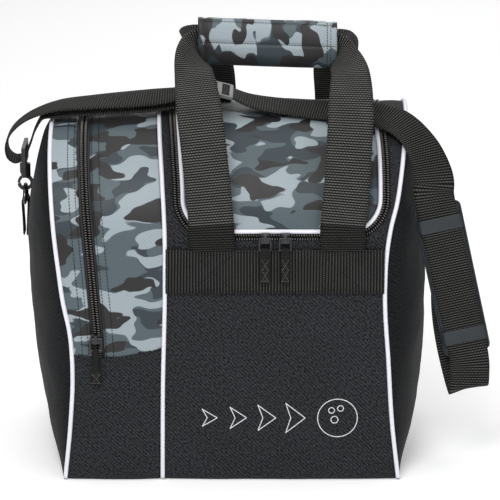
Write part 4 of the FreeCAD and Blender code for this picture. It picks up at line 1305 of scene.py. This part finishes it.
for name in ("left", "right", "shoe"):
    low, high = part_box(f"{name}_pull_tail")
    x, y = (low.x + high.x) / 2 / MM, (low.y + high.y) / 2 / MM
    bottom, top = low.z / MM, high.z / MM
    body = f"{name}_pull"
    if name == "shoe":
        profile = [(top, 6.0), (top - 8, 6.4), (bottom + 16, 6.6), (bottom + 13, 9.6), (bottom + 0.5, 9.6)]
    else:
        profile = [(top, 8.4), (top - 10, 9.0), (bottom + 12, 9.2), (bottom + 4, 9.0), (bottom + 0.5, 8.4)]
    stations = [((x, y, z), (1, 0, 0), wide) for z, wide in profile]
    tail = webbing(f"{name}_pull_webbing", stations, 3.6, body, pull_webbing, 1.5, 8, rib_height=0.18)
    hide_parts(f"{name}_pull_tail")
    face = y - 1.75
    wide = 3.6 if name == "shoe" else 3.0
    knots = [bottom + 2.5, bottom + 11.5] if name == "shoe" else [bottom + 3, bottom + 14, bottom + 24]
    lines = []
    for low_z, high_z in zip(knots, knots[1:]):
        lines += [straight((x - wide, face, low_z), (x + wide, face, high_z), (0, -1, 0), 4),
                  straight((x + wide, face, low_z), (x - wide, face, high_z), (0, -1, 0), 4)]
    for z in knots if name == "shoe" else knots[:1]:
        lines.append(straight((x - wide, face, z), (x + wide, face, z), (0, -1, 0), 3))
    sewn(f"{name}_pull_stitches", lines, body, 1.9, 1.5, grey_thread, 0.55)


# ------------------------------------------------------------------ D-rings and snap hooks
# Steel D-rings in webbing tabs on both sides; on each hangs a moulded swivel hook with a
# sprung gate, and the strap runs through its turning frame.

plastic_finish, tree, shader = new_finish("moulded_acetal", (0.012, 0.012, 0.013), 0.4,
                                          Specular_IOR_Level=0.5)
place = cloth_place(tree, False)
spark = step(tree, "ShaderNodeTexNoise", place, None, 1200.0, 3.0, 0.6)
flow = step(tree, "ShaderNodeTexNoise", place, None, 70.0, 3.0, 0.6)
tree.links.new(blend_colour(tree, flow, (0.009, 0.009, 0.010), (0.022, 0.022, 0.024)),
               shader.inputs["Base Color"])
tree.links.new(calc(tree, "MULTIPLY_ADD", spark, 0.25, 0.28), shader.inputs["Roughness"])
raise_by(tree, shader, spark, 0.00004)

ring_finish, tree, shader = new_finish("blackened_steel", (0.05, 0.05, 0.052), 0.25, Metallic=1.0)
place = cloth_place(tree, False)
rub = step(tree, "ShaderNodeTexNoise", place, None, 260.0, 4.0, 0.7)
tree.links.new(blend_colour(tree, calc(tree, "POWER", rub, 3.0), (0.05, 0.05, 0.052),
                            (0.55, 0.54, 0.52)), shader.inputs["Base Color"])
tree.links.new(calc(tree, "MULTIPLY_ADD", rub, 0.3, 0.12), shader.inputs["Roughness"])
raise_by(tree, shader, rub, 0.00003)

for side in ("left", "right"):
    refinish(plastic_finish, f"{side}_snap_hook", f"{side}_hook_gate", f"{side}_strap_frame")
    refinish(ring_finish, f"{side}_d_ring")

TAB_LOOP = [(-1.5, -35.5), (-1.9, -26), (-2.6, -12), (-3.0, -4), (-2.9, 0.2), (-2.0, 2.1), (0, 2.95),
            (2.0, 2.1), (2.9, 0.2), (3.0, -4), (2.6, -12), (1.9, -26), (1.5, -35.5)]
for side, bar, turn in (
    ("left", (-212.5, 0, 262), Matrix.Identity(3)),
    ("right", (200, 0, 280), Matrix.Rotation(math.radians(-24), 3, "Y") @ Matrix.Rotation(math.pi, 3, "X")),
):
    stations = []
    for x, z in TAB_LOOP:
        point = Vector(bar) + turn @ Vector((x, 0, z))
        stations.append((tuple(point), (0, 1, 0), 25.0))
    tab = webbing(f"{side}_tab_webbing", stations, 1.5, "root", rib=1.9, columns=8, rib_height=0.2)
    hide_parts(f"{side}_ring_tab")
    outer = turn @ Vector((-1 if side == "left" else 1, 0, 0))
    corners = [Vector(bar) + turn @ Vector((-2.6 if side == "left" else 2.6, y, z))
               for y, z in ((-10, -33), (10, -33), (10, -12), (-10, -12))]
    lines = [straight(corners[first], corners[second], outer, 6)
             for first, second in ((0, 1), (1, 2), (2, 3), (3, 0), (0, 2), (1, 3))]
    sewn(f"{side}_tab_stitches", lines, "root", 2.6, 2.0, None, 0.6)


# ------------------------------------------------------------------ shoulder strap
# One length of 40 mm webbing: sewn to the adjuster, down through the left hook's frame, back
# through the adjuster, over the lid, along the pad, and up behind it to the right hook.

LEAN = math.radians(-8)
HOOK_DOWN = np.array((-math.sin(LEAN), 0, -math.cos(LEAN)))
HOOK_OUT = np.array((math.cos(LEAN), 0, -math.sin(LEAN)))
PAD_TOP, PAD_END = np.array((204, -95, 279.5)), np.array((238, -95, 126.0))
PAD_RUN = (PAD_END - PAD_TOP) / np.linalg.norm(PAD_END - PAD_TOP)
PAD_SIDE = np.array((-PAD_RUN[2], 0, PAD_RUN[0]))


def at_frame(across, along):
    """A point by the right hook: across the hook, and down along it from the ring's bar."""
    return tuple(np.array((200, 0, 280)) + HOOK_OUT * across + HOOK_DOWN * along)


LYING, FACING = (0, 1, 0.21), (0.976, 0, 0.217)
STRAP_ROUTE = [
    ((-1, -26, 374.5), (0, 1, 0.06)), ((-41, -26, 372), (0, 1, 0.12)), ((-83, -25, 367.5), LYING),
    ((-140, -18, 361.5), (0, 1, 0.14)), ((-176, -9, 355.5), (0, 1, 0.06)),
    ((-191.5, -5, 351.5), (0, 1, 0.03)), ((-200.5, -3, 338), (0, 1, 0)),
    ((-207, -1, 320), (0, 1, 0)), ((-212.5, 0, 308.5), (0, 1, 0)),
    ((-221, 0, 304.5), (0, 1, 0)), ((-228.5, 0, 309), (0, 1, 0)), ((-231, 0, 319), (0, 1, 0)),
    ((-226, -1, 333.5), (0, 1, 0)), ((-210, -3, 348.5), (0, 1, 0)),
    ((-180, -9, 361.5), (0, 1, 0.06)), ((-140, -18, 368), (0, 1, 0.14)), ((-83, -25, 374), LYING),
    ((-51, -26, 378.5), (0, 1, 0.12)), ((-25, -26, 384.5), (0, 1, 0.05)),
    ((-3, -26, 379.5), (0, 1, 0.06)), ((19, -27, 371), (0, 1, 0.14)),
    ((58, -29, 365), LYING), ((101, -36, 363), (0, 1, 0.3)),
    ((148, -48, 361), (0, 1, 0.42)), ((172, -62, 353), (0.25, 0.85, 0.4)),
    ((189, -76, 337), (0.5, 0.7, 0.35)), ((199, -90, 317), (0.8, 0.5, 0.3)),
    ((201.5, -97.5, 303), (0.95, 0.15, 0.22)),
    (tuple(PAD_TOP - PAD_RUN * 13 + (0, -4.8, 0)), FACING),
    (tuple(PAD_TOP + PAD_RUN * 70 + (0, -5.0, 0)), FACING),
    (tuple(PAD_END + PAD_RUN * 6 + (0, -4.8, 0)), FACING),
    ((240, -99, 104), FACING), ((239.5, -97, 92), FACING), ((238.5, -92.5, 88), FACING),
    ((236.5, -88.5, 93), FACING),
    ((229, -77, 120), (0.93, 0.25, 0.25)), ((221, -54, 153), (0.75, 0.62, 0.15)),
    ((215, -26, 186), (0.35, 0.93, 0)), ((213, -8, 204), (0.05, 1, 0)),
    (at_frame(4.2, 65), (0, 1, 0)), (at_frame(4.2, 56), (0, 1, 0)), (at_frame(3, 51), (0, 1, 0)),
    (at_frame(0, 49), (0, 1, 0)), (at_frame(-3, 51), (0, 1, 0)), (at_frame(-4.2, 56), (0, 1, 0)),
    (at_frame(-3.6, 68), (0, 1, 0)), (at_frame(-1, 84), (0, 1, 0)),
]
strap_stations = [(point, across, 40.0) for point, across in STRAP_ROUTE]
BEHIND_PAD = 0.85  # the share of the strap's length where it has passed behind the pad
strap = webbing("strap_webbing", strap_stations, 1.8, None, kept=(0.0, BEHIND_PAD))
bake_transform(strap)
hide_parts("shoulder_strap")
strap_end = webbing("strap_end_webbing", strap_stations, 1.8, None, kept=(BEHIND_PAD, 1.0))
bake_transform(strap_end)

adjuster_finish, tree, shader = new_finish("satin_adjuster", (0.13, 0.15, 0.145), 0.36,
                                           Metallic=0.35, Specular_IOR_Level=0.5)
place = cloth_place(tree, False)
rub = step(tree, "ShaderNodeTexNoise", place, None, 180.0, 4.0, 0.7)
tree.links.new(blend_colour(tree, rub, (0.055, 0.062, 0.060), (0.19, 0.21, 0.20)),
               shader.inputs["Base Color"])
tree.links.new(calc(tree, "MULTIPLY_ADD", rub, 0.25, 0.25), shader.inputs["Roughness"])
raise_by(tree, shader, rub, 0.00003)
refinish(adjuster_finish, "strap_adjuster")


# ------------------------------------------------------------------ shoulder pad
# Foam between two faces of grained vinyl, bound round its edge. Two vinyl bands are sewn
# across it and hold the strap, which slides beneath them.

vinyl, tree, shader = new_finish("pad_vinyl", (0.022, 0.027, 0.031), 0.5, Specular_IOR_Level=0.3,
                                 Coat_Weight=0.05)
place = cloth_place(tree, False)
grain = step(tree, "ShaderNodeTexVoronoi", place, None, 950.0)
cloudy = step(tree, "ShaderNodeTexNoise", place, None, 30.0, 4.0, 0.6)
tree.links.new(blend_colour(tree, cloudy, (0.016, 0.020, 0.024), (0.030, 0.038, 0.044)),
               shader.inputs["Base Color"])
tree.links.new(calc(tree, "MULTIPLY_ADD", grain, 0.3, 0.38), shader.inputs["Roughness"])
raise_by(tree, shader, grain, 0.00016)


def on_pad(across, down, out):
    """A point of the pad: across it, down it from its top edge, and out of its middle plane."""
    return PAD_TOP + PAD_SIDE * across + PAD_RUN * down + np.array((0, -out, 0))


def settle(name, mesh, voxel, pressure, cap, frames=20):
    """Blows a closed soft piece up with cloth simulation, and keeps each point near its start."""
    soft = bpy.data.objects.new(name, mesh)
    bpy.context.scene.collection.objects.link(soft)
    bpy.context.view_layer.objects.active = soft
    remesh = soft.modifiers.new("even", "REMESH")
    remesh.mode, remesh.voxel_size = "VOXEL", voxel * MM
    bpy.context.view_layer.update()
    even = bpy.data.meshes.new_from_object(soft.evaluated_get(bpy.context.evaluated_depsgraph_get()))
    soft.modifiers.clear()
    soft.data = even
    rest = np.array([vertex.co for vertex in even.vertices], float)
    cloth = soft.modifiers.new("cloth", "CLOTH")
    cloth.settings.quality = 5
    cloth.settings.mass = 0.2
    cloth.settings.use_pressure = True
    cloth.settings.uniform_pressure_force = pressure
    cloth.settings.effector_weights.gravity = 0
    cloth.point_cache.frame_start, cloth.point_cache.frame_end = 1, frames
    for number in range(1, frames + 1):
        bpy.context.scene.frame_set(number)
    blown = bpy.data.meshes.new_from_object(
        soft.evaluated_get(bpy.context.evaluated_depsgraph_get()))
    now = np.array([vertex.co for vertex in blown.vertices], float)
    soft.modifiers.clear()
    bpy.context.scene.frame_set(1)
    moved = now - rest
    length = np.maximum(np.linalg.norm(moved, axis=1, keepdims=True), 1e-12)
    now = rest + moved * np.minimum(1, cap * MM / length)
    even.vertices.foreach_set("co", now.astype(np.float32).ravel())
    even.update()
    even.polygons.foreach_set("use_smooth", [True] * len(even.polygons))
    rounder = soft.modifiers.new("rounder", "SUBSURF")
    rounder.levels = rounder.render_levels = 1
    bpy.context.view_layer.update()
    final = bpy.data.meshes.new_from_object(soft.evaluated_get(bpy.context.evaluated_depsgraph_get()))
    soft.modifiers.clear()
    soft.data = final
    return soft


PAD_HALF, PAD_LONG, PAD_DEEP = 22.6, 155.0, 4.2
rows, columns = 40, 12
pad_points, pad_faces = [], []
for sign in (1, -1):
    for row in range(rows + 1):
        for column in range(columns + 1):
            across = (2 * column / columns - 1) * (PAD_HALF + 0.9)
            down = 0.1 + (PAD_LONG + 1.8) * row / rows
            pad_points.append(on_pad(across, down, sign * PAD_DEEP / 2 - 0.3))
count = (rows + 1) * (columns + 1)
for row in range(rows):
    for column in range(columns):
        a = row * (columns + 1) + column
        b, c, d = a + 1, a + columns + 2, a + columns + 1
        pad_faces += [(d, c, b, a), (a + count, b + count, c + count, d + count)]
rim = (list(range(columns + 1))
       + [row * (columns + 1) + columns for row in range(1, rows + 1)]
       + [rows * (columns + 1) + column for column in range(columns - 1, -1, -1)]
       + [row * (columns + 1) for row in range(rows - 1, 0, -1)])
for first, second in zip(rim, rim[1:] + rim[:1]):
    pad_faces.append((first, second, second + count, first + count))
pad_mesh = bpy.data.meshes.new("shoulder_pad_foam")
pad_mesh.from_pydata([tuple(point) for point in np.array(pad_points) * MM], [], pad_faces)
pad = settle("shoulder_pad_cover", pad_mesh, 2.1, 3.0, 0.9)
pad.data.materials.clear()
pad.data.materials.append(vinyl)
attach(pad, "pad")
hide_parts("shoulder_pad")

# its binding: one cord round the edge, from corner to corner
CORNER_ROUND = 5.0
corner_across, corner_low = PAD_HALF - CORNER_ROUND, PAD_LONG + 1 - CORNER_ROUND
edge_line = []
for centre_across, centre_down, first_turn in (
    (corner_across, CORNER_ROUND, -90), (corner_across, corner_low, 0),
    (-corner_across, corner_low, 90), (-corner_across, CORNER_ROUND, 180),
):
    for turn in range(0, 91, 15):
        angle = math.radians(first_turn + turn)
        edge_line.append((centre_across + CORNER_ROUND * math.cos(angle),
                          centre_down + CORNER_ROUND * math.sin(angle)))
edge_line.append(edge_line[0])
closed = []
for (a0, d0), (a1, d1) in zip(edge_line, edge_line[1:]):
    gap = math.hypot(a1 - a0, d1 - d0)
    pieces = max(1, int(gap / 3))
    closed += [(a0 + (a1 - a0) * k / pieces, d0 + (d1 - d0) * k / pieces) for k in range(pieces)]
closed += closed[:2]
edge_path = [(on_pad(across, down, 0.2), (0, -1, 0)) for across, down in closed]
tube("shoulder_pad_binding", edge_path, 1.3, vinyl, "pad", 10, 2.2)

for name, down in (("upper", 12), ("lower", 130)):
    grid, layout = [], []
    for row in range(13):
        at_down = down + 14 * row / 12
        line = []
        for column in range(41):
            across = -23.6 + 47.2 * column / 40
            rise = 3.1 + 4.1 * (1 - ease(19.4, 23.2, abs(across)))
            wave = 0.25 * ripple(across, at_down, 14, 60 + down)
            line.append(on_pad(across, at_down, rise + wave))
        grid.append(line)
        layout.append([(-23.6 + 47.2 * column / 40, at_down) for column in range(41)])
    grid.reverse()
    layout.reverse()
    cross_band = cloth_sheet(f"{name}_pad_band_vinyl", grid, layout, 1.2, vinyl, "pad")
    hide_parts(f"{name}_pad_band")
    lines = []
    for across in (-22.4, 22.4):
        lines.append([(on_pad(across, at_down, 4.3), (0, -1, 0))
                      for at_down in np.linspace(down + 1, down + 13, 6)])
    sewn(f"{name}_pad_band_stitches", lines, "pad", 2.4, 1.9, None, 0.6)


# ------------------------------------------------------------------ topstitching
# Black thread, two rows on each side of the shoe zipper and one under the printed panel's lower edge.

lines = []
for across in (-15.8, -9.4, 8.4, 15.4):
    path = []
    for way in np.arange(CAMO_EDGE - 3, SHOE_ZIP_END - 2, 4.0):
        x = shoe_zip(way) + across
        if x > seam_left(way) + 3:
            path.append((skin(x, way, split_lift(way, x) + 0.3), skin_out(way)))
    lines.append(path)
sewn("shoe_zipper_stitches", lines, "root", 3.3, 2.6, None, 1.0)

path = []
for x in np.linspace(seam_left(136) + 3, seam_mid(136) - 3, 40):
    way = camo_edge(x) - 2.0
    share = (x - seam_left(way)) / (seam_mid(way) - seam_left(way))
    path.append((skin(x, way, filled(share, way, x, 3.2, 2.0, 2.0) + 0.1), (0, -1, 0)))
sewn("printed_edge_stitches", [path], "root", 3.2, 2.4, None, 0.6)


# ------------------------------------------------------------------ front emblem
# A plain stitched emblem in white thread: a ball with its finger holes and four lane arrows.
# The stitches go straight through the front panel.

white_thread = grained_finish("white_thread", (0.78, 0.78, 0.80),
                              (0.60, 0.60, 0.63), (0.88, 0.88, 0.90), 0.45,
                              "ShaderNodeTexNoise", (1200.0, 2.0, 0.6), 0.00006, Sheen_Weight=0.2)


def on_front(x, z):
    """A point of the front panel and its outward side."""
    share = (x - seam_mid(z)) / (seam_right(z) - seam_mid(z))
    return skin(x, z, front_lift(share, z, x) + 0.1), (0, -1, 0)


def drawn_line(corners, pace=1.5):
    """A line on the front panel through (x, z) corners."""
    line = []
    for (x0, z0), (x1, z1) in zip(corners, corners[1:]):
        pieces = max(1, int(math.hypot(x1 - x0, z1 - z0) / pace))
        line += [on_front(x0 + (x1 - x0) * k / pieces, z0 + (z1 - z0) * k / pieces) for k in range(pieces)]
    line.append(on_front(*corners[-1]))
    return line


def circle(x, z, radius, count=40):
    """Corners of a circle on the front panel."""
    return [(x + radius * math.cos(2 * math.pi * k / count), z + radius * math.sin(2 * math.pi * k / count))
            for k in range(count + 1)]


emblem = [drawn_line(circle(106, 66, 20)), drawn_line(circle(100, 74, 3.0, 16)),
          drawn_line(circle(109, 76, 3.0, 16)), drawn_line(circle(103, 64, 3.6, 16))]
for number, x in enumerate((-30, -2, 26, 54)):
    tall, long = 9 + 2.2 * number, 15 + 1.5 * number
    emblem.append(drawn_line([
        (x, 66 + tall), (x + long, 66), (x, 66 - tall), (x + 5, 66), (x, 66 + tall)]))
beads("front_emblem", emblem, 0.9, 1.25, 1.15, 0.6, white_thread, "root", 0.04)


# ------------------------------------------------------------------ inside
# The ball sits in a foam cup on a stiff board, between two foam liners; a covered board
# divides it from the shoes.

foam_finish = grained_finish("grey_foam", (0.09, 0.095, 0.10),
                             (0.05, 0.053, 0.056), (0.13, 0.135, 0.14), 0.9,
                             "ShaderNodeTexVoronoi", (700.0,), 0.0004)

LINER_LEFT, LINER_WIDE = -66, 219
LINER_LOW, LINER_TALL = 9, 224
for name, face, seed in (("front", -117.4, -47.6), ("back", 117.4, 185.0)):
    grid, layout = [], []
    for row in range(41):
        z = LINER_LOW + LINER_TALL * row / 40
        line = []
        for column in range(41):
            x = LINER_LEFT + LINER_WIDE * column / 40
            line.append((x, face + 0.105 * ripple(x, z, 40, seed), z))
        if name == "back":
            line.reverse()
        grid.append(line)
        layout.append([(point[0], z) for point in line])
    liner = cloth_sheet(f"{name}_liner_foam", grid, layout, 2.4, foam_finish, "root")
    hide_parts(f"{name}_foam_liner")

cup_low, cup_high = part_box("ball_cup")
cup_x = (cup_low.x + cup_high.x) / 2 / MM
profile = [(62, 8.2), (62, 12), (64, 24), (68.5, 35), (72.5, 41), (76, 43.4), (80, 44), (85, 43),
           (89.5, 39), (91.6, 33), (92, 22), (91.5, 12), (90, 8.2)]
around = 96
points, faces, layout = [], [], []
for turn in range(around):
    angle = 2 * math.pi * turn / around
    for radius, z in profile:
        soft = 1 + 0.006 * noise.noise(Vector((3 * math.cos(angle), 3 * math.sin(angle), z / 20)))
        points.append((cup_x + radius * soft * math.cos(angle), radius * soft * math.sin(angle), z))
        layout.append((radius * angle, z))
ring = len(profile)
for turn in range(around):
    for step_at in range(ring):
        a = turn * ring + step_at
        b = turn * ring + (step_at + 1) % ring
        c = ((turn + 1) % around) * ring + (step_at + 1) % ring
        d = ((turn + 1) % around) * ring + step_at
        faces.append((a, b, c, d))
cup = add_piece("ball_cup_foam", points, faces, layout, foam_finish, "root")
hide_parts("ball_cup")

board_finish = grained_finish("fibre_board", (0.10, 0.085, 0.065),
                              (0.05, 0.043, 0.034), (0.16, 0.14, 0.11), 0.8,
                              "ShaderNodeTexNoise", (320.0, 5.0, 0.7), 0.0001)
refinish(board_finish, "base_board")
refinish(body_fabric_plain, "divider_wall")


# ------------------------------------------------------------------ end
# The scene is brought up to date.

bpy.context.view_layer.update()
